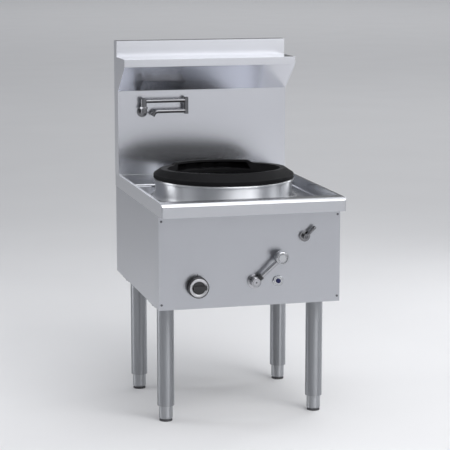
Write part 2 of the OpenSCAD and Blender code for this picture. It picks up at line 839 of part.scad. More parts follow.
// Brass jets that stand on the top plate
module burner_jets() {
    color("gold") for (p = jet_places) translate([p.x, burner_y + p.y, plate_z]) difference() {
        union() {
            translate([0, 0, -plate_t]) cylinder(h = plate_t, d = jet_spigot_d);
            cylinder(h = jet_h - jet_cone_h, d = jet_d, $fn = 24);
            translate([0, 0, jet_h - jet_cone_h])
                cylinder(h = jet_cone_h, r1 = jet_d / 2, r2 = jet_tip_d / 2, $fn = 24);
        }
        translate([0, 0, -plate_t - over]) cylinder(h = plate_t + jet_h + 2 * over, d = jet_bore_d);
    }
}

// Strap that carries the burner between the two leg rails
module burner_bracket() {
    top = cup_z - bracket_drop;
    y0 = leg_ys[0] - rail_w / 2;
    y1 = leg_ys[1] + rail_w / 2;
    color("gray") {
        block([-bracket_w / 2, y0, top - bracket_t], [bracket_w / 2, y1, top]);
        for (y = [y0, y1 - bracket_t])
            block([-bracket_w / 2, y, frame_top_z], [bracket_w / 2, y + bracket_t, top]);
        for (y = [y0, y1 - rail_w])
            block([-bracket_w / 2, y, frame_top_z], [bracket_w / 2, y + rail_w, frame_top_z + bracket_t]);
        translate([0, burner_y, top - bracket_t]) cylinder(h = bracket_drop + bracket_t, r = pedestal_r);
    }
}

// Turning disc with two air windows in front of the mixing tube
module air_shutter() {
    y = horn_end_y - shutter_t - seat_gap;
    color("goldenrod") difference() {
        bar_y([lever_x, y, horn_z], shutter_t, shutter_r);
        bar_y([lever_x, y - over, horn_z], shutter_t + 2 * over, injector_r + run_gap);
        for (s = SIDES) translate([lever_x, y - over, horn_z]) rotate([-90, 0, 0])
            rotate([0, 0, window_start + (s > 0 ? 0 : 180)]) rotate_extrude(angle = window_angle)
                translate([injector_r + window_in, 0])
                    square([shutter_r - injector_r - window_in - window_out, shutter_t + 2 * over]);
    }
}

// Brass injector that carries the shutter on its nose
injector_y = horn_end_y - injector_gap;
module gas_injector() {
    color("gold") difference() {
        union() {
            bar_y([lever_x, injector_y - injector_l / 2, horn_z],
                injector_l / 2 + injector_gap - seat_gap, injector_r);
            translate([lever_x, injector_y - injector_l / 2, horn_z]) rotate([-90, 0, 0])
                cylinder(h = injector_l / 2, r = injector_hex_r, $fn = 6);
        }
        bar_y([lever_x, injector_y - injector_l, horn_z], 2 * injector_l + injector_gap, jet_bore_d / 2);
    }
}

// Pipe from the main valve up and back to the injector
module feed_pipe() {
    start = [lever_x, pipe_y, lever_z + valve_r + valve_back];
    turn = [lever_x, pipe_y, horn_z];
    end = [lever_x, injector_y - injector_l / 2, horn_z];
    color("goldenrod") pipe_run([start, turn, end], gas_pipe_d / 2);
}

// Gas pipe from the rear inlet to the two valves
module gas_manifold() {
    r = gas_pipe_d / 2;
    color("goldenrod") {
        pipe_run([
            [gas_inlet_x, inlet_y, inlet_z], [gas_inlet_x, pipe_y, inlet_z],
            [gas_inlet_x, pipe_y, manifold_z], [-knob_x - r, pipe_y, manifold_z]
        ], r);
        bar_y([gas_inlet_x, inlet_y, inlet_z], inlet_thread_l, gas_inlet_d / 2);
    }
}

// Body of a valve: stem housing along Y and a vertical way through it
module valve_body(x, z, low_z, high_z, bore_r, bore_l, body_r) {
    color("goldenrod") difference() {
        union() {
            bar_y([x, control_y, z], pipe_y - control_y + valve_back, body_r);
            if (high_z > z) translate([x, pipe_y, z])
                cylinder(h = high_z - z, r = gas_pipe_d / 2 + valve_hex_wall, $fn = 6);
            translate([x, pipe_y, low_z])
                cylinder(h = z - low_z, r = gas_pipe_d / 2 + valve_hex_wall, $fn = 6);
        }
        bar_y([x, control_y - over, z], bore_l + over, bore_r);
    }
}
module main_gas_valve() {
    difference() {
        valve_body(lever_x, lever_z, manifold_z, lever_z + valve_r + valve_back,
            lever_shaft_r + run_gap, spindle_in, valve_r);
        bar([-knob_x, pipe_y, manifold_z], [gas_inlet_x, pipe_y, manifold_z], gas_pipe_d / 2);
    }
}
module pilot_valve() {
    difference() {
        valve_body(-knob_x, knob_z, manifold_z, knob_z, spindle_r + run_gap, spindle_in, pilot_valve_r);
        bar([-2 * knob_x, pipe_y, manifold_z], [gas_inlet_x, pipe_y, manifold_z], gas_pipe_d / 2);
    }
}

// Pilot burner on the burner's edge, with its electrode and thermocouple tip
pilot_side = 9;
pilot_pitch = 7;
pilot_x = -burner_r - pilot_side;
pilot_base_z = plate_z - plate_t;
pilot_h = 24;
pilot_r = 5;
pilot_edge = 5;
electrode_r = 2.2;
electrode_up = 4;
probe_r = 3;
module pilot_burner() {
    top = pilot_base_z + pilot_edge / 2;
    left = pilot_x - pilot_side;
    color("silver") {
        difference() {
            block([left - pilot_edge, burner_y - pilot_pitch - pilot_edge, pilot_base_z],
                  [-burner_r + pilot_side, burner_y + pilot_pitch + pilot_edge, top]);
            translate([0, burner_y, pilot_base_z - over]) cylinder(h = plate_t, r = burner_r);
        }
        translate([pilot_x, burner_y, top]) cylinder(h = pilot_h, r = pilot_r);
        translate([left, burner_y - pilot_pitch, top])
            cylinder(h = pilot_h + electrode_up, r = electrode_r);
        translate([left, burner_y + pilot_pitch, top]) cylinder(h = pilot_h, r = probe_r);
    }
}

// Line of points between two ends, set as shares of the way between them
function route(from, to, shares) = concat([from],
    [for (s = shares) [for (i = [0:2]) from[i] + s[i] * (to[i] - from[i])]], [to]);

// Thin copper tube from the pilot valve to the pilot burner
pilot_tube_r = 3;
tube_end_gap = 0.9;
pilot_route_shares = [[0, 0.1, 0], [0.22, 0.46, 0.14], [0.56, 0.73, 0.37], [1, 0.97, 0.76]];
module pilot_tube() {
    start = [-knob_x, pipe_y + valve_back + tube_end_gap, knob_z];
    end = [pilot_x, burner_y, pilot_base_z - tube_end_gap];
    color("peru") thin_tube(route(start, end, pilot_route_shares), pilot_tube_r);
}

// Lead of the thermocouple, from the pilot valve to its tip beside the pilot burner
thermocouple_r = 1.6;
thermocouple_route_shares = [[0, 0.11, 0], [0.09, 0.48, 0.25], [0.45, 0.77, 0.54], [1, 1.01, 0.77]];
module thermocouple_lead() {
    start = [-knob_x - pilot_pitch, pipe_y + valve_back + tube_end_gap, knob_z + pilot_pitch];
    end = [pilot_x - pilot_side, burner_y + pilot_pitch, pilot_base_z - tube_end_gap];
    color("peru") thin_tube(route(start, end, thermocouple_route_shares), thermocouple_r);
}

// Cable from the igniter to the electrode beside the pilot burner
ignition_cable_r = 2.2;
ignition_route_shares = [[0, 0.09, 0], [0.19, 0.33, -0.15], [0.71, 0.38, -0.2], [1.04, 0.66, -0.1],
    [1.08, 0.88, 0.33], [1.01, 0.99, 0.73]];
module ignition_cable() {
    start = [igniter_x, control_y + barrel_l + tube_end_gap, igniter_z];
    end = [pilot_x - pilot_side, burner_y - pilot_pitch, pilot_base_z - tube_end_gap];
    color("dimgray") thin_tube(route(start, end, ignition_route_shares), ignition_cable_r);
}

// Igniter: bezel on the panel and barrel behind it, bored for the button
module igniter_housing() {
    color("gainsboro") difference() {
        union() {
            translate([igniter_x, panel_y, igniter_z]) rotate([90, 0, 0]) {
                cylinder(h = bezel_t - bezel_soft, r = bezel_r);
                translate([0, 0, bezel_t - bezel_soft])
                    cylinder(h = bezel_soft, r1 = bezel_r, r2 = bezel_r - bezel_soft);
            }
            bar_y([igniter_x, panel_y, igniter_z], sheet_t + barrel_l, barrel_r);
            translate([igniter_x, control_y, igniter_z]) rotate([-90, 0, 0])
                cylinder(h = barrel_nut_t, r = barrel_nut_r, $fn = 6);
        }
        bar_y([igniter_x, panel_y - bezel_t - over, igniter_z], bezel_t + over + button_l,
            button_d / 2 + run_gap);
    }
}
module igniter_button() {
    front = panel_y - bezel_t - button_out;
    color("midnightblue") {
        bar_y([igniter_x, front + button_soft, igniter_z],
            bezel_t + button_out + button_l - button_travel - button_soft - seat_gap, button_d / 2);
        translate([igniter_x, front, igniter_z]) rotate([-90, 0, 0])
            cylinder(h = button_soft, r1 = button_d / 2 - button_soft, r2 = button_d / 2);
    }
}

// Spindle that carries the gas knob and is pushed in to open the pilot
knob_back_y = panel_y - knob_gap;
knob_face_y = panel_y - knob_l;
module knob_spindle() {
    end = control_y + spindle_in - knob_push - seat_gap;
    color("gainsboro")
        bar_y([-knob_x, knob_back_y - knob_l / 2, knob_z], end - knob_back_y + knob_l / 2, spindle_r);
}

// Gas knob: tapered black body with a recessed face, a round hub and a pointed grip bar
module gas_knob() {
    r = knob_d / 2;
    depth = knob_back_y - knob_face_y;
    rim_h = depth - knob_rim_drop;
    color([0.05, 0.05, 0.06]) difference() {
        translate([-knob_x, knob_back_y, knob_z]) rotate([90, 0, 0]) {
            difference() {
                cylinder(h = rim_h, r1 = r, r2 = r * knob_skirt_share, $fn = 96);
                translate([0, 0, depth - knob_ring_t])
                    cylinder(h = knob_ring_t, r = knob_trim_r + run_gap, $fn = 96);
            }
            cylinder(h = depth, r = knob_hub_r);
            intersection() {
                translate([-knob_hub_r + knob_grip_in, -knob_grip_w / 2, 0])
                    cube([knob_hub_r + knob_grip_l - knob_grip_in, knob_grip_w, depth + knob_grip_h]);
                cylinder(h = 2 * depth, r = knob_grip_l);
            }
        }
        bar_y([-knob_x, knob_back_y - knob_l / 2 - seat_gap, knob_z], knob_l, spindle_r + run_gap);
    }
}

// Bright ring set into the face of the gas knob
module knob_ring() {
    body_y = knob_face_y + knob_ring_t;
    inner = knob_hub_r + run_gap;
    color("silver") difference() {
        translate([-knob_x, body_y, knob_z]) rotate([90, 0, 0]) rotate_extrude($fn = 96) polygon([
            [inner, 0], [knob_trim_r, 0], [knob_trim_r, knob_ring_t - knob_ring_soft],
            [knob_trim_r - knob_ring_soft, knob_ring_t],
            [knob_hub_r + knob_ring_lip, knob_ring_t - knob_ring_dish],
            [inner, knob_ring_t - knob_ring_soft]
        ]);
        translate([-knob_x, knob_back_y, knob_z]) rotate([90, 0, 0])
            translate([0, -knob_grip_w / 2 - run_gap, 0])
                cube([knob_grip_l + run_gap, knob_grip_w + 2 * run_gap, 2 * knob_l]);
    }
}

// Gas lever: shaft, grooved hub, side socket and rod in one chromed piece
lever_tip = [lever_x + lever_len * cos(lever_angle), lever_z + lever_len * sin(lever_angle)];
rod_y = panel_y - lever_hub_l / 2 - lever_rod_shift;
grip_y = rod_y - lever_lean;
rod_from = [lever_x, rod_y, lever_z];
rod_way = unit([lever_tip.x, grip_y, lever_tip.y] - rod_from);
rod_len = norm([lever_tip.x, grip_y, lever_tip.y] - rod_from);
module lever_arm() {
    front = panel_y - lever_hub_l;
    foot_y = panel_y - lever_foot_gap;
    color("silver") {
        bar_y([lever_x, foot_y, lever_z], control_y + spindle_in - seat_gap - foot_y, lever_shaft_r);
        difference() {
            union() {
                bar_y([lever_x, foot_y - lever_foot_t, lever_z], lever_foot_t, lever_foot_r);
                bar_y([lever_x, front + lever_hub_soft, lever_z],
                    lever_hub_l - lever_foot_gap - lever_hub_soft, lever_hub_r);
                translate([lever_x, front, lever_z]) rotate([-90, 0, 0])
                    cylinder(h = lever_hub_soft, r1 = lever_hub_r - lever_hub_soft, r2 = lever_hub_r);
            }
            translate([lever_x, foot_y - lever_foot_t - lever_groove_l, lever_z]) rotate([-90, 0, 0])
                rotate_extrude() translate([lever_groove_r, 0]) square([lever_hub_r, lever_groove_l]);
            bar_y([lever_x, front - over, lever_z], over + lever_dimple_h, lever_dimple_r);
        }
        bar(rod_from, rod_from + rod_way * lever_socket_l, lever_socket_r);
        bar(rod_from, rod_from + rod_way * (rod_len - lever_rod_in), lever_rod_r);
    }
}

// Round grip at the end of the gas lever, with a grooved face
module lever_grip() {
    color("gainsboro") difference() {
        translate([lever_tip.x, grip_y + grip_l / 2, lever_tip.y]) rotate([90, 0, 0])
            rotate_extrude($fn = 64) {
            square([grip_d / 2 - grip_soft, grip_l]);
            translate([0, grip_soft]) square([grip_d / 2, grip_l - 2 * grip_soft]);
            for (z = [grip_soft, grip_l - grip_soft])
                translate([grip_d / 2 - grip_soft, z]) circle(r = grip_soft, $fn = 24);
        }
        // Groove round the bright disc on the face
        translate([lever_tip.x, grip_y - grip_l / 2 + grip_groove_depth, lever_tip.y]) rotate([90, 0, 0])
            rotate_extrude($fn = 64) translate([grip_groove_in_r, 0])
                square([grip_groove_out_r - grip_groove_in_r, grip_groove_depth + over]);
        bar(rod_from, rod_from + rod_way * (rod_len - lever_rod_in + seat_gap), lever_rod_r + run_gap);
    }
}

// Water valve behind the panel, with its round flange in front
module water_valve() {
    top = water_z + water_body_r + water_union_l;
    low = water_z - water_body_r - water_union_l;
    color("gainsboro") difference() {
        union() {
            bar_y([water_x, control_y, water_z], pipe_y - control_y + water_body_r, water_body_r);
            translate([water_x, pipe_y, low])
                cylinder(h = top - low, r = water_pipe_d / 2 + water_hex_wall, $fn = 6);
            bar_y([water_x, panel_y, water_z], sheet_t, stem_hole_r - hole_gap);
            bar_y([water_x, panel_y - water_flange_l, water_z], water_flange_l, water_flange_r);
        }
        bar_y([water_x, panel_y - water_flange_l - over, water_z], water_flange_l + spindle_in,
            water_shaft_r + run_gap);
    }
}

// Water lever: hub with a round handle that points up to the right
module water_lever() {
    hub_y = panel_y - water_flange_l - seat_gap;
    reach = handle_len - handle_r;
    handle_end = [water_x, hub_y - water_hub_l / 2, water_z]
        + reach * [cos(lever_angle), 0, sin(lever_angle)];
    color("silver") {
        bar_y([water_x, hub_y - water_hub_l, water_z], water_hub_l, water_hub_r);
        bar_y([water_x, hub_y, water_z], water_flange_l + water_shaft_in, water_shaft_r);
        bar([water_x, hub_y - water_hub_l / 2, water_z], handle_end, handle_r);
        translate(handle_end) sphere(r = handle_r * rounding_share);
    }
}

// Water pipe from the rear inlet to the valve
module water_supply_pipe() {
    color("peru") {
        pipe_run([
            [water_x, inlet_y, inlet_z], [water_x, pipe_y, inlet_z],
            [water_x, pipe_y, water_z - water_body_r - water_union_l]
        ], water_pipe_d / 2);
        bar_y([water_x, inlet_y, inlet_z], inlet_thread_l, water_inlet_d / 2);
    }
}

// Water pipe from the valve under the deck, up inside the splashback and to the tap
module tap_feed_pipe() {
    color("peru") pipe_run([
        [water_x, pipe_y, water_z + water_body_r + water_union_l], [water_x, pipe_y, water_run_z],
        [water_x, splash_pipe_y, water_run_z], [water_x, splash_pipe_y, tap_z],
        [-tap_x, splash_pipe_y, tap_z], [-tap_x, splash_y + sheet_t + seat_gap, tap_z]
    ], water_pipe_d / 2);
}

// Side view of the splashback, drawn as depth and height
shelf_z = hob_h + shelf_rise;
shelf_low_z = shelf_z - shelf_drop;
shelf_front_y = splash_top_y - shelf_d;
step_rise = 6;
step_h = 20;
step_z = shelf_low_z + step_rise;
module splash_section(inset) {
    polygon([
        [back_y, hob_h + inset], [splash_y + inset, hob_h + inset], [splash_y + inset, step_z - inset / 2],
        [splash_top_y + inset, step_z + step_h - inset / 2],
        [splash_top_y + inset, total_h - inset], [back_y, total_h - inset]
    ]);
}

// Splashback front: one folded skin with its sides, top and foot, open at the back
module splashback_front() {
    color("lightgray") difference() {
        translate([-half_w, 0, 0]) rotate([90, 0, 90]) linear_extrude(height = range_w) splash_section(0);
        difference() {
            translate([-half_w + sheet_t, 0, 0]) rotate([90, 0, 90])
                linear_extrude(height = range_w - 2 * sheet_t) splash_section(sheet_t);
            block([-half_w, back_y - sheet_t, hob_h], [half_w, back_y + over, hob_h + flange_w]);
        }
        block([-half_w - over, back_y - sheet_t, hob_h - over],
            [half_w + over, back_y + over, total_h + over]);
        bar_y([-tap_x, splash_y - over, tap_z], sheet_t + 2 * over, water_pipe_d / 2 + hole_gap);
        translate([water_x, splash_pipe_y, hob_h - over])
            cylinder(h = sheet_t + 2 * over, r = water_pipe_d / 2 + 2 * hole_gap);
    }
}

// Flat cover on the back of the splashback
module splashback_rear() {
    color("darkgray") block([-half_w, back_y - sheet_t, hob_h], [half_w, back_y, total_h]);
}

// Shelf: top, front lip, sloping underside and closed ends, folded from one sheet
module shelf() {
    t = sheet_t;
    end = [
        [splash_top_y, shelf_z], [shelf_front_y, shelf_z], [shelf_front_y, shelf_z - shelf_lip],
        [splash_y, shelf_low_z], [splash_y, step_z], [splash_top_y, step_z + step_h]
    ];
    drop = shelf_z - shelf_lip - shelf_low_z;
    run = splash_y - shelf_front_y;
    rise_t = t * norm([drop, run]) / run;
    color("gainsboro") translate([-half_w, 0, 0]) rotate([90, 0, 90]) {
        linear_extrude(height = t) polygon(end);
        translate([0, 0, range_w - t]) linear_extrude(height = t) polygon(end);
        linear_extrude(height = range_w) {
            translate([shelf_front_y, shelf_z - t]) square([shelf_d, t]);
            translate([shelf_front_y, shelf_z - shelf_lip]) square([t, shelf_lip]);
            polygon([
                [shelf_front_y, shelf_z - shelf_lip], [splash_y, shelf_low_z],
                [splash_y, shelf_low_z + rise_t], [shelf_front_y, shelf_z - shelf_lip + rise_t]
            ]);
        }
    }
}

// Tap base: wall flange, elbow, riser and the pivot of the upper arm
riser_top_z = arm_z - hub_h / 2 - seat_gap;
module tap_base() {
    color("silver") {
        bar_y([-tap_x, splash_y - wall_flange_t, tap_z], wall_flange_t, wall_flange_r);
        bar_y([-tap_x, tap_y, tap_z], tap_stand - wall_flange_t, riser_r - neck_slim);
        translate([-tap_x, tap_y, tap_z]) sphere(r = riser_r);
        translate([-tap_x, tap_y, tap_z]) cylinder(h = riser_top_z - tap_z, r = riser_r);
        translate([-tap_x, tap_y, riser_top_z]) cylinder(h = hub_h - hub_cap_t, r = pivot_r);
    }
}

// Upper arm: hub over the riser, tube and the joint block at its free end
joint_x = -tap_x + arm_len;
joint_low_z = spout_z + hub_h / 2 + seat_gap;
module tap_upper_arm() {
    hub_low = arm_z - hub_h / 2;
    color("silver") difference() {
        union() {
            translate([-tap_x, tap_y, hub_low]) cylinder(h = hub_h - hub_soft, r = hub_r);
            translate([-tap_x, tap_y, hub_low + hub_h - hub_soft])
                cylinder(h = hub_soft, r1 = hub_r, r2 = hub_r - hub_soft);
            bar([-tap_x, tap_y, arm_z], [joint_x, tap_y, arm_z], arm_d / 2);
            translate([joint_x, tap_y, joint_low_z])
                cylinder(h = arm_z + hub_h / 2 - joint_low_z, r = joint_r);
            translate([joint_x, tap_y, joint_low_z - hub_h + hub_cap_t]) cylinder(h = hub_h, r = pivot_r);
        }
        translate([-tap_x, tap_y, hub_low - over])
            cylinder(h = hub_h - hub_cap_t + over, r = pivot_r + run_gap);
    }
}

// Lower arm: hub on the upper arm's pivot, tube, bend and aerator
module tap_spout_arm() {
    low = spout_z - hub_h / 2;
    bend_x = joint_x - spout_len;
    color("silver") difference() {
        union() {
            translate([joint_x, tap_y, low]) cylinder(h = hub_h, r = joint_r);
            bar([joint_x, tap_y, spout_z], [bend_x - bend_in, tap_y, spout_z], arm_d / 2);
            translate([bend_x, tap_y, spout_z - spout_bend_r]) rotate([90, 0, 0]) rotate([0, 0, 90])
                rotate_extrude(angle = spout_bend_angle) translate([spout_bend_r, 0])
                    circle(r = arm_d / 2 - bend_slim);
            translate([bend_x, tap_y, spout_z - spout_bend_r]) rotate([0, -spout_bend_angle, 0])
                translate([bend_in, 0, spout_bend_r]) rotate([0, -90, 0]) {
                    cylinder(h = spout_tip_l + bend_in, d = arm_d);
                    translate([0, 0, spout_tip_l]) cylinder(h = aerator_l, r = aerator_r);
                }
        }
        translate([joint_x, tap_y, low - over]) cylinder(h = 2 * hub_h, r = pivot_r + run_gap);
    }
}

// Waste outlet: slotted grate on the deck and a pipe with a spigot below the cabinet
module waste_outlet() {
    color("silver") difference() {
        union() {
            translate([waste_x, waste_y, deck_z]) cylinder(h = waste_flange_t, r = waste_flange_r);
            translate([waste_x, waste_y, waste_end_z]) {
                cylinder(h = waste_spigot_l, d = waste_d);
                cylinder(h = deck_z - waste_end_z, r = waste_d / 2 - waste_spigot_step);
            }
        }
        translate([waste_x, waste_y, waste_end_z - over])
            cylinder(h = deck_z - waste_end_z + over, r = waste_d / 2 - waste_spigot_step - sheet_t);
        for (i = [-2:2])
            translate([waste_x - waste_slot_l / 2, waste_y + i * waste_slot_pitch - waste_slot_w / 2,
                deck_z - over])
                cube([waste_slot_l, waste_slot_w, waste_flange_t + 2 * over]);
    }
}

leg(-1, leg_ys[0]);  // leg_front_left
leg(1, leg_ys[0]);  // leg_front_right
leg(-1, leg_ys[1]);  // leg_rear_left
leg(1, leg_ys[1]);  // leg_rear_right
foot(-1, leg_ys[0]);  // foot_front_left
foot(1, leg_ys[0]);  // foot_front_right
foot(-1, leg_ys[1]);  // foot_rear_left
foot(1, leg_ys[1]);  // foot_rear_right
pad(-1, leg_ys[0]);  // pad_front_left
pad(1, leg_ys[0]);  // pad_front_right
pad(-1, leg_ys[1]);  // pad_rear_left
pad(1, leg_ys[1]);  // pad_rear_right
rail_x(panel_in_y, skin_x);  // frame_rail_front
rail_x(rear_y - rail_w, skin_x);  // frame_rail_rear
rail_y(-1);  // frame_rail_left
rail_y(1);  // frame_rail_right
rail_x(leg_ys[0] - rail_w / 2, skin_x - rail_w);  // leg_rail_front
rail_x(leg_ys[1] - rail_w / 2, skin_x - rail_w);  // leg_rail_rear
corner_posts();
leg_bolts();
front_panel();
side_panel(-1);  // side_panel_left
side_panel(1);  // side_panel_right
rear_panel();
panel_screws();
hob_top();
burner_drum();
wok_ring();
chamber_liner();
burner_head();
burner_jets();
burner_bracket();
air_shutter();
gas_injector();
feed_pipe();
gas_manifold();
main_gas_valve();
pilot_valve();
pilot_burner();
pilot_tube();
thermocouple_lead();
igniter_housing();
igniter_button();
ignition_cable();
knob_spindle();
gas_knob();
knob_ring();
lever_arm();
lever_grip();
water_valve();
water_lever();
water_supply_pipe();
tap_feed_pipe();
splashback_front();
splashback_rear();
shelf();
tap_base();
tap_upper_arm();
tap_spout_arm();
waste_outlet();
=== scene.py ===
import json
import math

import bmesh
import bpy
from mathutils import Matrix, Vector


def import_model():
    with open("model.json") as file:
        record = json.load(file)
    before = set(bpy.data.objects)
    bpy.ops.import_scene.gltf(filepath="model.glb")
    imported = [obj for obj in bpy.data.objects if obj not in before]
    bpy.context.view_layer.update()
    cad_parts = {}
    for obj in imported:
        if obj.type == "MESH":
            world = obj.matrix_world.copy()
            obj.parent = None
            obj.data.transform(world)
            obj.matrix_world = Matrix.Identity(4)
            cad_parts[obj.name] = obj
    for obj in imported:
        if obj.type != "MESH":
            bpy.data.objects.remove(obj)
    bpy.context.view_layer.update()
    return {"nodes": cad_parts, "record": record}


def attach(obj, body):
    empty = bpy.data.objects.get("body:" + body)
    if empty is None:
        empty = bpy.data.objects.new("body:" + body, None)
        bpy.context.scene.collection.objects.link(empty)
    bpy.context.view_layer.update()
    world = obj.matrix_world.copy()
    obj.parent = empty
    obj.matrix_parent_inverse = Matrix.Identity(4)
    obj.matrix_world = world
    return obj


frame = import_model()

MM = 0.001
NODES = frame["nodes"]
RECORD = frame["record"]
SLOT_OF = {s["node"]: s["material_slot"] for s in RECORD["subparts"]}
COLOUR = {m["slot"]: tuple(m["base_color"][:3]) for m in RECORD["materials"]}

# Camera of the photograph: place in metres, turn in degrees, lens and sensor in mm
CAMERA_PLACE = (-1.54137, -5.83598, 1.68990)
CAMERA_TURN = (80.238, 0.0, -14.790)
CAMERA_LENS = 135.06
CAMERA_REACH = 200
SENSOR = 36.0


class Shader:
    """Builds one node material."""

    def __init__(self, name):
        self.mat = bpy.data.materials.new(name)
        self.mat.use_nodes = True
        self.tree = self.mat.node_tree
        self.tree.nodes.clear()
        self.out = self.add("ShaderNodeOutputMaterial")
        self.bsdf = self.add("ShaderNodeBsdfPrincipled")
        self.link(self.bsdf.outputs["BSDF"], self.out.inputs["Surface"])
        self.place = self.add("ShaderNodeTexCoord").outputs["Object"]

    def add(self, kind, **values):
        node = self.tree.nodes.new(kind)
        for key, value in values.items():
            setattr(node, key, value)
        return node

    def link(self, a, b):
        self.tree.links.new(a, b)

    def feed(self, socket, value):
        """Gives a socket the output of another node, or else a constant."""
        if isinstance(value, bpy.types.NodeSocket):
            self.link(value, socket)
        else:
            socket.default_value = value

    def math(self, how, a, b):
        node = self.add("ShaderNodeMath", operation=how)
        self.feed(node.inputs[0], a)
        self.feed(node.inputs[1], b)
        return node.outputs[0]

    def span(self, value, low, high, to_low=0.0, to_high=1.0):
        node = self.add("ShaderNodeMapRange")
        names = ("Value", "From Min", "From Max", "To Min", "To Max")
        for key, v in zip(names, (value, low, high, to_low, to_high)):
            self.feed(node.inputs[key], v)
        return node.outputs["Result"]

    def noise(self, scale, detail=3.0, stretch=None, rough=0.5, shift=(0, 0, 0)):
        place = self.place
        if stretch or any(shift):
            mapping = self.add("ShaderNodeMapping")
            self.link(self.place, mapping.inputs["Vector"])
            mapping.inputs["Scale"].default_value = stretch or (1, 1, 1)
            mapping.inputs["Location"].default_value = shift
            place = mapping.outputs["Vector"]
        node = self.add("ShaderNodeTexNoise")
        self.link(place, node.inputs["Vector"])
        node.inputs["Scale"].default_value = scale
        node.inputs["Detail"].default_value = detail
        node.inputs["Roughness"].default_value = rough
        return node.outputs["Fac"]

    def mix(self, factor, a, b):
        node = self.add("ShaderNodeMix", data_type="RGBA")
        self.feed(node.inputs["Factor"], factor)
        for socket, value in ((node.inputs["A"], a), (node.inputs["B"], b)):
            if isinstance(value, (tuple, list)):
                value = tuple(value) + (1.0,) if len(value) == 3 else tuple(value)
            self.feed(socket, value)
        return node.outputs["Result"]

    def bump(self, height, strength, distance):
        node = self.add("ShaderNodeBump")
        node.inputs["Strength"].default_value = strength
        node.inputs["Distance"].default_value = distance
        self.link(height, node.inputs["Height"])
        return node.outputs["Normal"]

    def edges(self, radius):
        """About 1 on sharp edges and 0 on flat faces."""
        bevel = self.add("ShaderNodeBevel", samples=4)
        bevel.inputs["Radius"].default_value = radius
        geometry = self.add("ShaderNodeNewGeometry")
        dot = self.add("ShaderNodeVectorMath", operation="DOT_PRODUCT")
        self.link(bevel.outputs["Normal"], dot.inputs[0])
        self.link(geometry.outputs["Normal"], dot.inputs[1])
        return self.span(dot.outputs["Value"], 0.995, 0.80)

    def set(self, **values):
        for key, value in values.items():
            self.feed(self.bsdf.inputs[key.replace("_", " ")], value)


def shade(colour, factor):
    return tuple(max(0.0, min(1.0, c * factor)) for c in colour)


EVEN, ALONG_X = (1, 1, 1), (0.02, 1, 1)
BRUSH_SPREAD, SMUDGE_ROUGH, SCRATCH_ROUGH, STREAK_SHARE = 0.004, 0.008, 0.06, 0.15
UPRIGHT = (0.02, 0.03, 1.0)


def steel(name, colour, rough, fine, depth, cloud=0.02, scratch=0.10, spun=0.0):
    """Sheet steel: fine grain along X, soft cloudy tone, light smudges and a few scratches.

    fine is the scale of the grain and depth the height of its bumps in metres. cloud and scratch
    are the strengths of the tone and the scratches. spun is the anisotropy, on an upright tangent.
    """
    s = Shader(name)
    brushed = s.noise(fine, 2.0, ALONG_X, 0.6)
    streak = s.noise(fine * 0.12, 2.0, ALONG_X, 0.5, (3, 7, 1))
    tone = s.noise(2.2, 2.0, shift=(1, 4, 2))
    smudge = s.span(s.noise(7.0, 3.0, shift=(5, 2, 8)), 0.56, 0.82)
    thin = tuple(g * 0.5 for g in ALONG_X)
    lines = s.span(s.noise(210.0, 1.0, thin, 0.3, (9, 3, 4)), 0.72, 0.78)
    base = s.mix(s.span(tone, 0.3, 0.7), shade(colour, 1 - cloud), shade(colour, 1 + cloud))
    base = s.mix(s.span(streak, 0.3, 0.7, 0.0, STREAK_SHARE), base, shade(colour, 0.96))
    r = s.math("ADD", s.span(brushed, 0.2, 0.8, rough - BRUSH_SPREAD, rough + BRUSH_SPREAD),
               s.math("MULTIPLY", smudge, SMUDGE_ROUGH))
    r = s.math("ADD", r, s.math("MULTIPLY", lines, SCRATCH_ROUGH * scratch))
    height = s.math("ADD", brushed, s.math("MULTIPLY", streak, STREAK_SHARE))
    height = s.math("SUBTRACT", height, s.math("MULTIPLY", lines, scratch))
    s.set(Base_Color=base, Metallic=1.0, Roughness=r, Normal=s.bump(height, 0.08, depth))
    if spun:
        upright = s.add("ShaderNodeCombineXYZ")
        for socket, value in zip(upright.inputs, UPRIGHT):
            socket.default_value = value
        s.bsdf.inputs["Anisotropic"].default_value = spun
        s.link(upright.outputs[0], s.bsdf.inputs["Tangent"])
    return s.mat


def chrome(name, colour, rough):
    """Polished metal: faint pitting and water marks."""
    s = Shader(name)
    spots = s.span(s.noise(420.0, 2.0, rough=0.4), 0.66, 0.74)
    marks = s.span(s.noise(38.0, 4.0, shift=(2, 2, 6)), 0.5, 0.75)
    base = s.mix(s.math("MULTIPLY", spots, 0.5), colour, shade(colour, 0.6))
    r = s.math("ADD", s.span(marks, 0.0, 1.0, rough, rough + 0.09), s.math("MULTIPLY", spots, 0.2))
    s.set(Base_Color=base, Metallic=1.0, Roughness=r,
          Normal=s.bump(s.math("SUBTRACT", marks, spots), 0.06, 0.0001))
    return s.mat


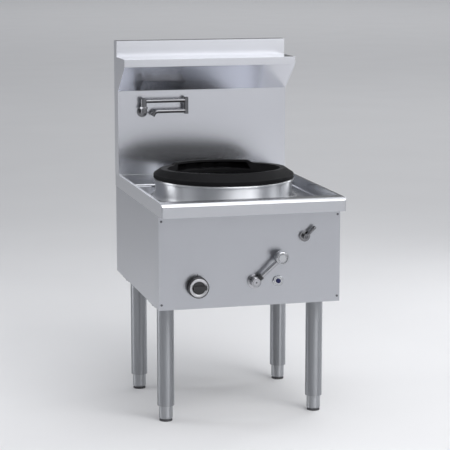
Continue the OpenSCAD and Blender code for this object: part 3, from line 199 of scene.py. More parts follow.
def cast(name, colour, rough, grit, bump, worn=0.5, warm=(0.0, 0.0, 0.0), specular=0.4):
    """Cast or enamelled iron: gritty skin, cloudy tone, greasy patches and rubbed edges."""
    s = Shader(name)
    grain = s.noise(grit, 4.0, rough=0.65)
    lumps = s.noise(46.0, 3.0, shift=(4, 1, 2))
    tone = s.noise(11.0, 4.0, shift=(7, 7, 1))
    tinted = tuple(c + w for c, w in zip(colour, warm))
    base = s.mix(s.span(tone, 0.35, 0.68), shade(colour, 0.85), tinted)
    base = s.mix(s.math("MULTIPLY", s.span(grain, 0.58, 0.75), 0.35), base, shade(colour, 1.9))
    base = s.mix(s.math("MULTIPLY", s.edges(0.0015), worn), base, shade(tinted, 2.6))
    r = s.math("ADD", s.span(grain, 0.2, 0.8, rough - 0.07, rough + 0.09),
               s.span(tone, 0.4, 0.7, 0.0, -0.08))
    height = s.math("ADD", grain, s.math("MULTIPLY", lumps, 1.4))
    s.set(Base_Color=base, Metallic=0.0, Roughness=r, Normal=s.bump(height, bump, 0.0005))
    s.bsdf.inputs["Specular IOR Level"].default_value = specular
    return s.mat


def warm_metal(name, colour, rough, dull, grain=EVEN):
    """Brass and copper: turning lines, brown tarnish in patches and bright edges."""
    s = Shader(name)
    lathe = s.noise(1200.0, 2.0, grain, 0.5)
    tarnish = s.span(s.noise(55.0, 5.0, shift=(3, 8, 2)), 0.42, 0.72)
    base = s.mix(s.math("MULTIPLY", tarnish, 0.75), colour, dull)
    base = s.mix(s.math("MULTIPLY", s.edges(0.0008), 0.6), base, shade(colour, 1.25))
    r = s.math("ADD", s.span(lathe, 0.2, 0.8, rough - 0.05, rough + 0.05),
               s.math("MULTIPLY", tarnish, 0.22))
    s.set(Base_Color=base, Metallic=1.0, Roughness=r,
          Normal=s.bump(s.math("ADD", lathe, tarnish), 0.15, 0.0001))
    return s.mat


def paint(name, colour, rough, worn=0.35, bare=(0.3, 0.28, 0.26)):
    """Painted steel: orange peel, dust in the tone and chipped edges."""
    s = Shader(name)
    peel = s.noise(700.0, 2.0)
    tone = s.noise(14.0, 4.0, shift=(2, 5, 5))
    rims = s.edges(0.001)
    chips = s.math("MULTIPLY", rims, s.span(s.noise(160.0, 4.0, shift=(1, 1, 9)), 0.45, 0.6))
    base = s.mix(s.span(tone, 0.3, 0.7), shade(colour, 0.88), shade(colour, 1.08))
    base = s.mix(s.math("MULTIPLY", chips, worn), base, bare)
    r = s.math("ADD", s.span(tone, 0.3, 0.7, rough - 0.05, rough + 0.06),
               s.math("MULTIPLY", chips, 0.2))
    s.set(Base_Color=base, Roughness=r,
          Normal=s.bump(s.math("SUBTRACT", peel, chips), 0.12, 0.0002))
    return s.mat


def plastic(name, colour, rough, bump=0.1, coat=0.0, worn=0.25, specular=0.5):
    """Moulded plastic or rubber: fine texture, dusty tone and paler edges."""
    s = Shader(name)
    grain = s.noise(900.0, 3.0)
    tone = s.noise(24.0, 4.0, shift=(6, 3, 3))
    dusty = tuple(c * 1.1 + 0.004 for c in colour)
    paler = tuple(c * 1.6 + 0.02 for c in colour)
    base = s.mix(s.span(tone, 0.3, 0.7), shade(colour, 0.85), dusty)
    base = s.mix(s.math("MULTIPLY", s.edges(0.0006), worn), base, paler)
    r = s.span(s.math("ADD", grain, tone), 0.6, 1.4, rough - 0.05, rough + 0.08)
    s.set(Base_Color=base, Roughness=r, Normal=s.bump(grain, bump, 0.0001))
    s.bsdf.inputs["Specular IOR Level"].default_value = specular
    s.bsdf.inputs["Coat Weight"].default_value = coat
    s.bsdf.inputs["Coat Roughness"].default_value = 0.08
    return s.mat


# The record's slots, each with the function that makes it and the values it takes
LOOKS = {
    "panel_steel": (steel, dict(rough=0.28, fine=700.0, depth=4e-7, cloud=0.01, scratch=0.02)),
    "hob_steel": (steel, dict(rough=0.21, fine=800.0, depth=1e-6, cloud=0.015, scratch=0.04)),
    "drum_steel": (steel, dict(rough=0.42, fine=900.0, depth=3e-7, cloud=0.005, scratch=0.02,
                               spun=0.94)),
    "splash_steel": (steel, dict(rough=0.21, fine=700.0, depth=8e-7, cloud=0.015, scratch=0.02)),
    "leg_steel": (steel, dict(rough=0.34, fine=800.0, depth=6e-7, cloud=0.01, scratch=0.05,
                              spun=0.97)),
    "foot_steel": (steel, dict(rough=0.32, fine=900.0, depth=6e-7, cloud=0.01, scratch=0.05,
                               spun=0.97)),
    "knob_trim": (steel, dict(rough=0.36, fine=1200.0, depth=2e-6)),
    "screw_steel": (chrome, dict(rough=0.28)),
    "dark_screw": (chrome, dict(rough=0.38)),
    "bezel_chrome": (chrome, dict(rough=0.20)),
    "lever_chrome": (chrome, dict(rough=0.16)),
    "grip_metal": (chrome, dict(rough=0.24)),
    "tap_chrome": (chrome, dict(rough=0.12)),
    "frame_steel": (paint, dict(rough=0.5)),
    "gas_pipe": (paint, dict(rough=0.36)),
    "black_iron": (cast, dict(rough=0.60, grit=420.0, bump=0.10, worn=0.05, specular=0.06)),
    "liner_iron": (cast, dict(rough=0.85, grit=260.0, bump=0.7, warm=(0.012, 0.006, 0.0),
                              specular=0.2)),
    "burner_iron": (cast, dict(rough=0.66, grit=300.0, bump=0.6, warm=(0.02, 0.01, 0.0))),
    "jet_brass": (warm_metal, dict(rough=0.32, dull=(0.16, 0.10, 0.05), grain=ALONG_X)),
    "valve_brass": (warm_metal, dict(rough=0.28, dull=(0.22, 0.14, 0.07))),
    "tube_copper": (warm_metal, dict(rough=0.28, dull=(0.2, 0.09, 0.05))),
    "pad_plastic": (plastic, dict(rough=0.55)),
    "button_blue": (plastic, dict(rough=0.35, coat=0.04, worn=0.02, specular=0.25)),
    "cable_rubber": (plastic, dict(rough=0.5)),
    "knob_black": (plastic, dict(rough=0.32, bump=0.05, coat=0.10, worn=0.1)),
}
# Slots drawn darker than the record's colour as painted shade: a painted dark reflection on the
# tap's chrome, painted shade on the legs
PAINTED_SHADE_SLOTS = {"leg_steel": 0.96, "tap_chrome": 0.5}
MATERIAL = {}
for slot in sorted(LOOKS):
    make, values = LOOKS[slot]
    colour = shade(COLOUR[slot], PAINTED_SHADE_SLOTS[slot]) if slot in PAINTED_SHADE_SLOTS else COLOUR[slot]
    MATERIAL[slot] = make(slot, colour, **values)
MATERIAL["mark_dark"] = plastic("mark_dark", (0.05, 0.05, 0.06), 0.5)
MATERIAL["knob_skirt"] = plastic("knob_skirt", (0.010, 0.010, 0.011), 0.6, worn=0.0, specular=0.15)
MATERIAL["seal_grey"] = plastic("seal_grey", (0.34, 0.35, 0.36), 0.45)

# Width in mm of the thin rounded edges on the plain sheet and tube parts
ROUNDED = {
    "shelf": 0.6, "splashback_rear": 0.5, "corner_posts": 0.6, "burner_bracket": 0.8,
    "frame_rail_left": 1.5, "frame_rail_right": 1.5,
}
EDGE_ANGLE = math.radians(35)
WELD_REACH = 0.00001


def round_edges(obj, width):
    merge = obj.modifiers.new("join", "WELD")
    merge.merge_threshold = WELD_REACH
    bevel = obj.modifiers.new("round", "BEVEL")
    bevel.width = width
    bevel.segments = 2
    bevel.limit_method = "ANGLE"
    bevel.angle_limit = EDGE_ANGLE
    bevel.harden_normals = True


for node, obj in sorted(NODES.items()):
    obj.data.materials.clear()
    obj.data.materials.append(MATERIAL[SLOT_OF[node]])
    for face in obj.data.polygons:
        face.material_index = 0
    if node in ROUNDED:
        round_edges(obj, ROUNDED[node] * MM)


def piece(name, verts, faces, slot, body, sharp=35):
    """One detail piece, in metres in the shared frame, riding on a CAD body."""
    mesh = bpy.data.meshes.new(name)
    mesh.from_pydata([tuple(v) for v in verts], [], faces)
    mesh.validate()
    mesh.update()
    obj = bpy.data.objects.new(name, mesh)
    bpy.context.scene.collection.objects.link(obj)
    mesh.materials.append(MATERIAL[slot])
    for face in mesh.polygons:
        face.use_smooth = True
    mesh.set_sharp_from_angle(angle=math.radians(sharp))
    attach(obj, body)


def frame_of(axis):
    """The axis at length 1, and two directions square to it."""
    axis = Vector(axis).normalized()
    side = axis.cross(Vector((0, 0, 1)) if abs(axis.z) < 0.9 else Vector((1, 0, 0))).normalized()
    return axis, side, axis.cross(side)


def turned(profile, place, axis, steps):
    """Verts and faces of a closed (radius, height) profile turned about an axis, in mm."""
    axis, side, other = frame_of(axis)
    place = Vector(place)
    verts, faces, n = [], [], len(profile)
    for i in range(steps):
        a = 2 * math.pi * i / steps
        way = side * math.cos(a) + other * math.sin(a)
        verts += [(place + way * r + axis * h) * MM for r, h in profile]
    for i in range(steps):
        k = (i + 1) % steps
        for j in range(n):
            m = (j + 1) % n
            faces.append((i * n + j, k * n + j, k * n + m, i * n + m))
    return verts, faces


def ring_piece(name, place, axis, ring_r, tube_r, slot, body, squash=0.5, steps=48, sides=6):
    """A thin ring about an axis, in mm, flattened along the axis by squash."""
    profile = []
    for k in range(sides):
        a = 2 * math.pi * k / sides
        profile.append((ring_r + tube_r * math.cos(a), squash * tube_r * math.sin(a)))
    piece(name, *turned(profile, place, axis, steps), slot, body)


def swept(points, tube_r, sides=8):
    """Verts and faces of a closed-ended tube along points in mm."""
    points = [Vector(p) for p in points]
    verts, faces = [], []
    for i, p in enumerate(points):
        along = (points[min(i + 1, len(points) - 1)] - points[max(i - 1, 0)]).normalized()
        _, side, other = frame_of(along)
        for k in range(sides):
            a = 2 * math.pi * k / sides
            verts.append((p + (side * math.cos(a) + other * math.sin(a)) * tube_r) * MM)
    for i in range(len(points) - 1):
        for k in range(sides):
            m = (k + 1) % sides
            faces.append((i * sides + k, i * sides + m, (i + 1) * sides + m, (i + 1) * sides + k))
    faces.append(tuple(range(sides - 1, -1, -1)))
    faces.append(tuple((len(points) - 1) * sides + k for k in range(sides)))
    return verts, faces


def slab(low, high, soft):
    """Verts and faces of a box in mm with cut-off edges."""
    low, high = Vector(low), Vector(high)
    bm = bmesh.new()
    bmesh.ops.create_cube(bm, size=1.0)
    for v in bm.verts:
        v.co = Vector([low[i] + (v.co[i] + 0.5) * (high[i] - low[i]) for i in range(3)])
    bmesh.ops.bevel(bm, geom=bm.edges[:], offset=soft, segments=2, profile=0.7, affect="EDGES")
    bm.verts.index_update()
    verts = [v.co * MM for v in bm.verts]
    faces = [tuple(v.index for v in f.verts) for f in bm.faces]
    bm.free()
    return verts, faces


def join(*parts):
    verts, faces = [], []
    for part_verts, part_faces in parts:
        start = len(verts)
        verts += part_verts
        faces += [tuple(i + start for i in f) for f in part_faces]
    return verts, faces


def node_box(node):
    """Low and high corner of a CAD node, in mm."""
    obj = NODES[node]
    points = [(obj.matrix_world @ v.co) / MM for v in obj.data.vertices]
    return [Vector([pick(p[i] for p in points) for i in range(3)]) for pick in (min, max)]


JOINT = {j["name"]: Vector(j["pos_m"]) / MM for j in RECORD["behaviour"]["joints"]}
MOUNT = {m["name"]: m for m in RECORD["mounts"]}
RANGE = "range_body"
FRONT, BACK, UP = Vector((0, -1, 0)), Vector((0, 1, 0)), Vector((0, 0, 1))


def dome(r, h, steps=5):
    """Profile of a low domed cap, from its centre to its rim."""
    angles = [math.pi / 2 * k / steps for k in range(steps + 1)]
    return [(r * math.sin(a), h * math.cos(a)) for a in angles]


SINK, CAP_STEPS = 0.2, 40


def cap_piece(name, place, axis, r, h, slot, body):
    """A domed cap that sinks a little into what carries it."""
    piece(name, *turned(dome(r, h) + [(0.0, -SINK)], place, axis, CAP_STEPS), slot, body)


# Screws: shares of the radius and height of the head, then sizes of the washer in mm
SOCKET_FLOOR, SOCKET_R, SOCKET_RIM, CROWN_FROM = 0.35, 0.42, 0.46, 0.5
WASHER_FACE, WASHER_R = 1.35, 1.5
WASHER_T, WASHER_EDGE, WASHER_SINK, SCREW_STEPS = 0.5, 0.35, 0.1, 24


def hex_socket_screw(place, axis, r, h):
    """Domed head with a socket, on a thin washer."""
    socket = [(0.0, h * SOCKET_FLOOR), (r * SOCKET_R, h * SOCKET_FLOOR), (r * SOCKET_RIM, h)]
    crown = [(x, z) for x, z in dome(r, h) if x > r * CROWN_FROM]
    head = turned(socket + crown + [(r, -SINK), (0.0, -SINK)], place, axis, SCREW_STEPS)
    washer = turned([
        (0.0, -WASHER_SINK), (0.0, WASHER_T), (r * WASHER_FACE, WASHER_T),
        (r * WASHER_R, WASHER_EDGE), (r * WASHER_R, -WASHER_SINK),
    ], place, axis, SCREW_STEPS)
    return join(head, washer)


NUT_SOFT, NUT_STEPS = 0.8, 24


def hex_ring(place, axis, across, bore, length):
    """Hexagon nut with chamfered corners round a pipe."""
    axis, side, other = frame_of(axis)
    place = Vector(place)
    verts, faces, n = [], [], NUT_STEPS
    corner_r = across / 2 / math.cos(math.pi / 6)
    rows = [(0.0, NUT_SOFT), (NUT_SOFT, 0.0), (length - NUT_SOFT, 0.0), (length, NUT_SOFT),
            (length, None), (0.0, None)]
    for h, cut in rows:
        for i in range(n):
            a = 2 * math.pi * i / n
            from_flat = (a + math.pi / 6) % (math.pi / 3) - math.pi / 6
            r = bore if cut is None else min(across / 2 / math.cos(from_flat), corner_r - cut)
            verts.append((place + (side * math.cos(a) + other * math.sin(a)) * r + axis * h) * MM)
    for j in range(len(rows)):
        m = (j + 1) % len(rows)
        for i in range(n):
            k = (i + 1) % n
            faces.append((j * n + i, j * n + k, m * n + k, m * n + i))
    return verts, faces


# Pipe thread in mm, and where its ridge rises, flattens and falls as shares of the pitch
PITCH, THREAD_DEPTH, THREAD_PROUD, THREAD_STEPS = 1.8, 0.7, 0.05, 40
RIDGE_TOP, RIDGE_OVER, RIDGE_END, ROOT_SHARE = 0.35, 0.5, 0.85, 0.2


def thread(place, axis, r, length):
    """Ridges of a pipe thread over a plain stub."""
    profile, z = [(r - THREAD_DEPTH, 0.0)], PITCH * 0.5
    root_r, peak_r = r - THREAD_DEPTH * ROOT_SHARE, r + THREAD_PROUD
    while z + PITCH < length:
        profile += [(root_r, z), (peak_r, z + PITCH * RIDGE_TOP),
                    (peak_r, z + PITCH * RIDGE_OVER), (root_r, z + PITCH * RIDGE_END)]
        z += PITCH
    profile += [(r - THREAD_DEPTH, length)]
    return turned(profile, place, axis, THREAD_STEPS)


# Places taken from the boxes of the CAD nodes, in mm
hob_low, hob_high = node_box("hob_top")
splash_low, splash_high = node_box("splashback_front")
back_low, back_high = node_box("splashback_rear")
rear_low, rear_high = node_box("rear_panel")
drum_low, drum_high = node_box("burner_drum")
DECK_Z = drum_low.z
HOB_Z = hob_high.z
PANEL_Y = node_box("front_panel")[0].y

# Gas knob: index mark on the panel and flutes round the skirt
MARK_RIGHT, MARK_UP = 2.0, 39.5
MARK_W, MARK_H, MARK_T, MARK_SINK, MARK_SOFT = 2.2, 6.5, 0.25, 0.1, 0.1
FLUTES, FLUTE_R, FLUTE_L, FLUTE_SIDES, FLUTE_IN, FLUTE_GAP = 48, 2.1, 13.0, 10, 1.5, 8.5
knob = JOINT["knob_turn"]
knob_low, knob_high = node_box("gas_knob")
knob_r = (knob_high.z - knob_low.z) / 2
mark_x, mark_z = knob.x + MARK_RIGHT, knob.z + MARK_UP
piece("knob_index_mark",
      *slab((mark_x - MARK_W / 2, PANEL_Y - MARK_T, mark_z - MARK_H / 2),
            (mark_x + MARK_W / 2, PANEL_Y + MARK_SINK, mark_z + MARK_H / 2), MARK_SOFT),
      "mark_dark", RANGE)
flute_back = PANEL_Y - FLUTE_GAP
flutes = []
for i in range(FLUTES):
    a = 2 * math.pi * i / FLUTES
    out = Vector((math.cos(a), 0, math.sin(a)))
    foot = Vector((knob.x, 0, knob.z)) + out * (knob_r - FLUTE_IN)
    flutes.append(swept([foot + BACK * flute_back, foot + BACK * (flute_back - FLUTE_L)],
                        FLUTE_R, FLUTE_SIDES))
piece("knob_flutes", *join(*flutes), "knob_skirt", "knob")

# Gas lever: black sleeve at the root of the rod, screw and lines on the hub, painted shade on the
# grip
SLEEVE_FROM, SLEEVE_L, SLEEVE_R = 17.5, 13.5, 10.9
SLEEVE_T, SLEEVE_EDGE, SLEEVE_SOFT, SLEEVE_STEPS = 1.5, 0.5, 0.8, 40
HUB_OUT, HUB_DISH, HUB_SCREW_R, HUB_SCREW_H = 32.0, 1.6, 3.4, 1.3
HUB_LINE_RS, HUB_LINE_T = (14.6, 11.0), 0.35
GRIP_RIM_IN, GRIP_RIM_T, GRIP_RIM_SQUASH, GRIP_STEPS = 0.25, 0.7, 0.8, 64
GRIP_SHADE_RS, GRIP_SHADE_T, GRIP_SHADE_IN = (13.4, 17.8), 0.5, 0.1
hub = JOINT["gas_lever_turn"]
hub_y = PANEL_Y - HUB_OUT
grip_low, grip_high = node_box("lever_grip")
grip_mid = (grip_low + grip_high) / 2
rod_way = (grip_mid - hub).normalized()
sleeve = [
    (SLEEVE_R - SLEEVE_T, 0.0), (SLEEVE_R - SLEEVE_EDGE, 0.0), (SLEEVE_R, SLEEVE_SOFT),
    (SLEEVE_R, SLEEVE_L - SLEEVE_SOFT), (SLEEVE_R - SLEEVE_EDGE, SLEEVE_L),
    (SLEEVE_R - SLEEVE_T, SLEEVE_L),
]
piece("lever_sleeve", *turned(sleeve, hub + rod_way * SLEEVE_FROM, rod_way, SLEEVE_STEPS),
      "knob_black", "gas_lever")
piece("lever_hub_screw",
      *hex_socket_screw(Vector((hub.x, hub_y + HUB_DISH, hub.z)), FRONT, HUB_SCREW_R, HUB_SCREW_H),
      "dark_screw", "gas_lever")
for k, r in enumerate(HUB_LINE_RS):
    ring_piece(f"lever_hub_line_{k + 1}", Vector((hub.x, hub_y, hub.z)), FRONT,
               r, HUB_LINE_T, "dark_screw", "gas_lever")
# Dark rings painted as shade on the grip: one round its barrel, two on its face at the groove
ring_piece("grip_rim_line", grip_mid, FRONT, (grip_high.z - grip_low.z) / 2 - GRIP_RIM_IN,
           GRIP_RIM_T, "dark_screw", "gas_lever", GRIP_RIM_SQUASH, GRIP_STEPS)
for k, r in enumerate(GRIP_SHADE_RS):
    ring_piece(f"grip_groove_painted_shade_{k + 1}",
               Vector((grip_mid.x, grip_low.y + GRIP_SHADE_IN, grip_mid.z)), FRONT,
               r, GRIP_SHADE_T, "dark_screw", "gas_lever", steps=GRIP_STEPS)

# Igniter: trim line on the bezel and a domed cap on the button
BEZEL_LINE_R, BEZEL_LINE_T, BUTTON_RIM, BUTTON_DOME = 13.5, 0.5, 1.0, 1.4
igniter = JOINT["igniter_press"]
bezel_y = node_box("igniter_housing")[0].y
button_low, button_high = node_box("igniter_button")
ring_piece("igniter_bezel_line", Vector((igniter.x, bezel_y, igniter.z)), FRONT,
           BEZEL_LINE_R, BEZEL_LINE_T, "dark_screw", RANGE)
cap_piece("igniter_cap", Vector((igniter.x, button_low.y, igniter.z)), FRONT,
          (button_high.z - button_low.z) / 2 - BUTTON_RIM, BUTTON_DOME,
          "button_blue", "igniter_push")

# Water lever: cap screw in the hub and a trim line on the flange
WATER_SCREW_R, WATER_SCREW_H, WATER_SCREW_IN = 4.4, 1.6, 0.1
WATER_LINE_R, WATER_LINE_T, WATER_LINE_IN, FLANGE_SQUASH = 16.5, 0.5, 0.3, 0.6
water = JOINT["water_lever_turn"]
lever_y = node_box("water_lever")[0].y + WATER_SCREW_IN
flange_y = node_box("water_valve")[0].y + WATER_LINE_IN
piece("water_hub_screw",
      *hex_socket_screw(Vector((water.x, lever_y, water.z)), FRONT, WATER_SCREW_R, WATER_SCREW_H),
      "dark_screw", "water_tap_lever")
ring_piece("water_flange_line", Vector((water.x, flange_y, water.z)), FRONT,
           WATER_LINE_R, WATER_LINE_T, "dark_screw", RANGE, FLANGE_SQUASH)

# Tap: trim line on the wall flange, union nut, seals and caps at both joints
TAP_FLANGE_R, TAP_FLANGE_T, TAP_LINE_IN, TAP_LINE_T = 19.5, 4.9, 4.5, 0.55
RISER_R, NUT_UP, NUT_ACROSS, NUT_L, NUT_BITE = 11.0, 13.0, 25.5, 9.0, 0.3
RISER_SEAL_DOWN, RISER_SEAL_R, RISER_SEAL_T = 23.0, 10.3, 0.55
ELBOW_SEAL_UP, ELBOW_SEAL_R, ELBOW_SEAL_T, SEAL_STEPS = 11.65, 7.9, 0.5, 40
RISER_CAP_R, RISER_CAP_H, ELBOW_CAP_R, ELBOW_CAP_H = 7.4, 1.8, 7.0, 2.0
tap = JOINT["upper_arm_swing"]
elbow = JOINT["spout_arm_swing"]
arm_top = node_box("tap_upper_arm")[1].z
tap_z = node_box("tap_base")[0].z + TAP_FLANGE_R
ring_piece("tap_flange_line", Vector((tap.x, splash_low.y - TAP_FLANGE_T, tap_z)), FRONT,
           TAP_FLANGE_R - TAP_LINE_IN, TAP_LINE_T, "dark_screw", RANGE, FLANGE_SQUASH)
piece("tap_union_nut",
      *hex_ring(Vector((tap.x, tap.y, tap_z + NUT_UP)), UP, NUT_ACROSS, RISER_R - NUT_BITE, NUT_L),
      "tap_chrome", RANGE)
ring_piece("tap_riser_seal", Vector((tap.x, tap.y, arm_top - RISER_SEAL_DOWN)), UP,
           RISER_SEAL_R, RISER_SEAL_T, "cable_rubber", RANGE, steps=SEAL_STEPS)
cap_piece("tap_riser_cap", Vector((tap.x, tap.y, arm_top)), UP, RISER_CAP_R, RISER_CAP_H,
          "tap_chrome", "upper_arm")
cap_piece("tap_elbow_cap", Vector((elbow.x, elbow.y, arm_top)), UP, ELBOW_CAP_R, ELBOW_CAP_H,
          "tap_chrome", "upper_arm")
ring_piece("tap_elbow_seal", Vector((elbow.x, elbow.y, elbow.z + ELBOW_SEAL_UP)), UP,
           ELBOW_SEAL_R, ELBOW_SEAL_T, "cable_rubber", "upper_arm", steps=SEAL_STEPS)

# Deck: soft cove along the foot of the recess
SIDE_RIM_W, FRONT_LEDGE_W = 10.0, 59.5
COVE_R, COVE_STEPS, COVE_SINK, COVE_SHARP = 5.0, 5, 0.05, 50
recess_x = hob_high.x - SIDE_RIM_W
recess_front, recess_rear = hob_low.y + FRONT_LEDGE_W, splash_low.y
corners = [(-recess_x, recess_front), (recess_x, recess_front),
           (recess_x, recess_rear), (-recess_x, recess_rear)]
verts, faces = [], []
for x, y in corners:
    sx, sy = -math.copysign(1, x), (1 if y == recess_front else -1)
    for k in range(COVE_STEPS + 1):
        a = math.pi / 2 * k / COVE_STEPS
        inward, up = COVE_R * (1 - math.sin(a)), COVE_R * (1 - math.cos(a))
        verts.append(Vector((x + sx * inward, y + sy * inward, DECK_Z + up)) * MM)
    verts.append(Vector((x - sx * COVE_SINK, y - sy * COVE_SINK, DECK_Z - COVE_SINK)) * MM)
row = COVE_STEPS + 2
for c in range(len(corners)):
    d = (c + 1) % len(corners)
    for k in range(row):
        m = (k + 1) % row
        faces.append((c * row + k, d * row + k, d * row + m, c * row + m))
piece("deck_cove", verts, faces, "hob_steel", RANGE, COVE_SHARP)

# Screws of the splashback's rear cover and of the rear panel, with their washers.
# Their places are shares of the sheet's half width or height, or mm from its edges.
COVER_ROW, COVER_SIDE, COVER_UPS, COVER_EDGE = (-0.92, -0.31, 0.31, 0.92), 0.96, (0.36, 0.66), 14.0
COVER_SCREW_R, COVER_SCREW_H, COVER_SCREW_IN = 3.6, 1.8, 0.3
REAR_ROW, REAR_EDGE_LOW, REAR_EDGE_HIGH = (-0.93, -0.5, 0.0, 0.5), 14.0, 55.0
REAR_SCREW_R, REAR_SCREW_H = 4.0, 2.0
cover_y = back_high.y - COVER_SCREW_IN
places = []
for x in COVER_ROW:
    for z in (back_low.z + COVER_EDGE, back_high.z - COVER_EDGE):
        places.append(Vector((x * back_high.x, cover_y, z)))
for up in COVER_UPS:
    for x in (-1, 1):
        places.append(Vector((x * COVER_SIDE * back_high.x, cover_y,
                              back_low.z + up * (back_high.z - back_low.z))))
screws = [hex_socket_screw(p, BACK, COVER_SCREW_R, COVER_SCREW_H) for p in places]
piece("rear_cover_screws", *join(*screws), "screw_steel", RANGE)
places = []
for x in REAR_ROW:
    for z in (rear_low.z + REAR_EDGE_LOW, rear_high.z - REAR_EDGE_HIGH):
        places.append(Vector((x * rear_high.x, rear_high.y, z)))
screws = [hex_socket_screw(p, BACK, REAR_SCREW_R, REAR_SCREW_H) for p in places]
piece("rear_panel_screws", *join(*screws), "screw_steel", RANGE)

# Rear inlets: lock nuts on the panel and pipe threads
LOCK_NUT_OUT, LOCK_NUT_BITE, LOCK_NUT_OVER = 0.1, 3.2, 4.0
THREAD_FROM, THREAD_SHORT = 4.5, 5.0
for name, across in (("gas_inlet", 36.0), ("water_inlet", 28.0)):
    mount = MOUNT[name]
    tip = Vector(mount["pos_m"]) / MM
    r, length = mount["dims"]["r_mm"], mount["dims"]["length_mm"]
    root = tip - BACK * length
    piece(f"{name}_lock_nut",
          *hex_ring(Vector((tip.x, rear_high.y + LOCK_NUT_OUT, tip.z)), BACK, across,
                    r - LOCK_NUT_BITE, root.y - rear_high.y + LOCK_NUT_OVER),
          "valve_brass", RANGE)
    piece(f"{name}_thread", *thread(root + BACK * THREAD_FROM, BACK, r, length - THREAD_SHORT),
          "valve_brass", RANGE)

# Weld beads where the leg tubes meet their plates
LEG_R, LEG_PLATE_T = 30.0, 6.0
WELD_W, WELD_H, WELD_SINK, WELD_SIDES, WELD_STEPS = 2.0, 1.6, 0.3, 8, 48
weld = []
for k in range(WELD_SIDES):
    a = 2 * math.pi * k / WELD_SIDES
    weld.append((LEG_R - WELD_SINK + WELD_W * math.cos(a), WELD_H * math.sin(a)))
beads = []
for side in ("left", "right"):
    for end in ("front", "rear"):
        foot = node_box(f"foot_{end}_{side}")
        mid = (foot[0] + foot[1]) / 2
        plate_z = node_box(f"leg_{end}_{side}")[1].z - LEG_PLATE_T
        beads.append(turned(weld, Vector((mid.x, mid.y, plate_z)), UP, WELD_STEPS))
piece("leg_weld_beads", *join(*beads), "leg_steel", RANGE)

# Sealing beads: round the foot of the drum, and where the splashback meets the ledges and recess
DRUM_BEAD_UP, DRUM_BEAD_OUT, DRUM_BEAD_T, DRUM_BEAD_SQUASH = 0.6, 4.6, 1.2, 0.7
LEDGE_BEAD_T, LEDGE_BEAD_UP, LEDGE_BEAD_OUT, LEDGE_BEAD_END = 1.2, 0.3, 0.2, 1.0
RECESS_BEAD_T, RECESS_BEAD_DOWN, RECESS_BEAD_OUT = 0.9, 0.2, 0.3
ring_piece("drum_foot_bead", Vector((0, JOINT["ring_lift"].y, DECK_Z + DRUM_BEAD_UP)), UP,
           (drum_high.x - drum_low.x) / 2 + DRUM_BEAD_OUT, DRUM_BEAD_T,
           "seal_grey", RANGE, DRUM_BEAD_SQUASH, steps=96, sides=8)
ledge_y, ledge_z = splash_low.y - LEDGE_BEAD_OUT, HOB_Z + LEDGE_BEAD_UP
across_y, across_z = splash_low.y - RECESS_BEAD_OUT, HOB_Z - RECESS_BEAD_DOWN
piece("splash_foot_seal", *join(
    swept([(splash_low.x + LEDGE_BEAD_END, ledge_y, ledge_z), (-recess_x, ledge_y, ledge_z)],
          LEDGE_BEAD_T),
    swept([(recess_x, ledge_y, ledge_z), (splash_high.x - LEDGE_BEAD_END, ledge_y, ledge_z)],
          LEDGE_BEAD_T),
    swept([(-recess_x, across_y, across_z), (recess_x, across_y, across_z)], RECESS_BEAD_T)),
      "seal_grey", RANGE)


# Floor, world and lamps, in metres
FLOOR_HALF = 60.0


def stage_floor():
    h = FLOOR_HALF
    mesh = bpy.data.meshes.new("floor")
    mesh.from_pydata([(-h, -h, 0), (h, -h, 0), (h, h, 0), (-h, h, 0)], [], [(0, 1, 2, 3)])
    obj = bpy.data.objects.new("floor", mesh)
    bpy.context.scene.collection.objects.link(obj)
    s = Shader("floor")
    tone = s.noise(1.3, 2.0)
    s.set(Base_Color=s.mix(tone, (0.71, 0.71, 0.72), (0.75, 0.75, 0.76)), Roughness=0.85,
          Normal=s.bump(s.noise(60.0, 3.0), 0.02, 0.001))
    mesh.materials.append(s.mat)


def lamp(name, place, aim, size, power, colour=(1, 1, 1)):
    """Softbox of a width and a height, unseen by the camera."""
    data = bpy.data.lights.new(name, "AREA")
    data.energy = power
    data.color = colour
    data.shape = "RECTANGLE"
    data.size, data.size_y = size
    obj = bpy.data.objects.new(name, data)
    obj.location = place
    obj.rotation_euler = (Vector(aim) - Vector(place)).to_track_quat("-Z", "Y").to_euler()
    obj.visible_camera = False
    bpy.context.scene.collection.objects.link(obj)


WORLD_COLOUR = (0.94, 0.96, 1.0, 1)
WORLD_DIM, WORLD_BRIGHT, WORLD_TOP = 0.07, 0.25, 0.36


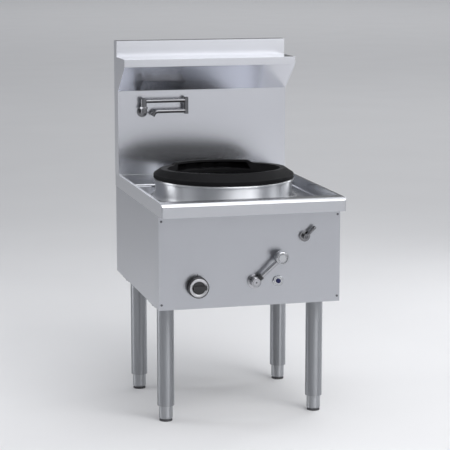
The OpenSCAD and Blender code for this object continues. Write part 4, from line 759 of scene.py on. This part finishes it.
def world():
    """Soft studio: brighter overhead and to the front right, dimmer to the left and behind."""
    w = bpy.data.worlds.new("studio")
    bpy.context.scene.world = w
    w.use_nodes = True
    tree = w.node_tree
    tree.nodes.clear()
    out = tree.nodes.new("ShaderNodeOutputWorld")
    back = tree.nodes.new("ShaderNodeBackground")
    way = tree.nodes.new("ShaderNodeTexCoord")
    split = tree.nodes.new("ShaderNodeSeparateXYZ")
    tree.links.new(way.outputs["Generated"], split.inputs[0])

    def node(kind, inputs, **values):
        n = tree.nodes.new(kind)
        for key, v in values.items():
            setattr(n, key, v)
        for socket, v in zip(n.inputs, inputs):
            if isinstance(v, bpy.types.NodeSocket):
                tree.links.new(v, socket)
            else:
                socket.default_value = v
        return n.outputs[0]

    def calc(how, a, b):
        return node("ShaderNodeMath", (a, b), operation=how)

    def smooth(*inputs):
        return node("ShaderNodeMapRange", inputs, interpolation_type="SMOOTHSTEP")

    up = smooth(split.outputs["Z"], 0.0, 0.75, 0.0, 1.0)
    side = calc("SUBTRACT", calc("MULTIPLY", split.outputs["X"], 0.55),
                calc("MULTIPLY", split.outputs["Y"], 0.6))
    front = smooth(side, -0.5, 0.6, WORLD_DIM, WORLD_BRIGHT)
    level = calc("ADD", front, calc("MULTIPLY", up, WORLD_TOP))
    back.inputs["Color"].default_value = WORLD_COLOUR
    tree.links.new(level, back.inputs["Strength"])
    tree.links.new(back.outputs[0], out.inputs["Surface"])


stage_floor()
world()
WARM, COOL, PALE = (1.0, 0.99, 0.98), (0.97, 0.98, 1.0), (0.98, 0.99, 1.0)
lamp("key", (2.8, -3.4, 3.4), (0, 0, 0.8), size=(1.6, 1.6), power=24, colour=WARM)
lamp("front", (1.15, -3.4, 2.1), (0, 0, 0.8), size=(2.1, 2.2), power=19)
lamp("left_strip", (-2.9, 1.2, 1.55), (0, 0, 0.7), size=(1.1, 2.2), power=26, colour=COOL)
lamp("right_strip", (2.7, 1.4, 1.65), (0, 0, 0.7), size=(0.8, 2.2), power=17, colour=COOL)
lamp("left_fill", (-3.2, -0.6, 2.3), (0, 0, 0.9), size=(1.6, 1.8), power=6, colour=PALE)
lamp("right_fill", (3.2, -0.4, 2.3), (0, 0, 0.9), size=(1.0, 1.8), power=12, colour=PALE)
lamp("top", (0.2, -0.3, 3.4), (0, 0.05, 0.8), size=(2.0, 2.0), power=23)
# Lamps that face straight down, over the floor in front of the object and behind it
lamp("front_pool", (2.6, -6.6, 6.5), (2.6, -6.6, 0), size=(8.0, 7.0), power=420)
lamp("back_pool", (5.0, 7.5, 7.5), (5.0, 7.5, 0), size=(8.0, 8.0), power=160)
lamp("far_pool", (10.0, 28.0, 12.0), (10.0, 28.0, 0), size=(18.0, 24.0), power=700)

camera = bpy.data.cameras.new("camera")
camera.lens = CAMERA_LENS
camera.sensor_width = SENSOR
camera.clip_end = CAMERA_REACH
camera_obj = bpy.data.objects.new("camera", camera)
camera_obj.location = CAMERA_PLACE
camera_obj.rotation_euler = [math.radians(a) for a in CAMERA_TURN]
bpy.context.scene.collection.objects.link(camera_obj)
bpy.context.scene.camera = camera_obj
bpy.context.scene.view_settings.view_transform = "Standard"
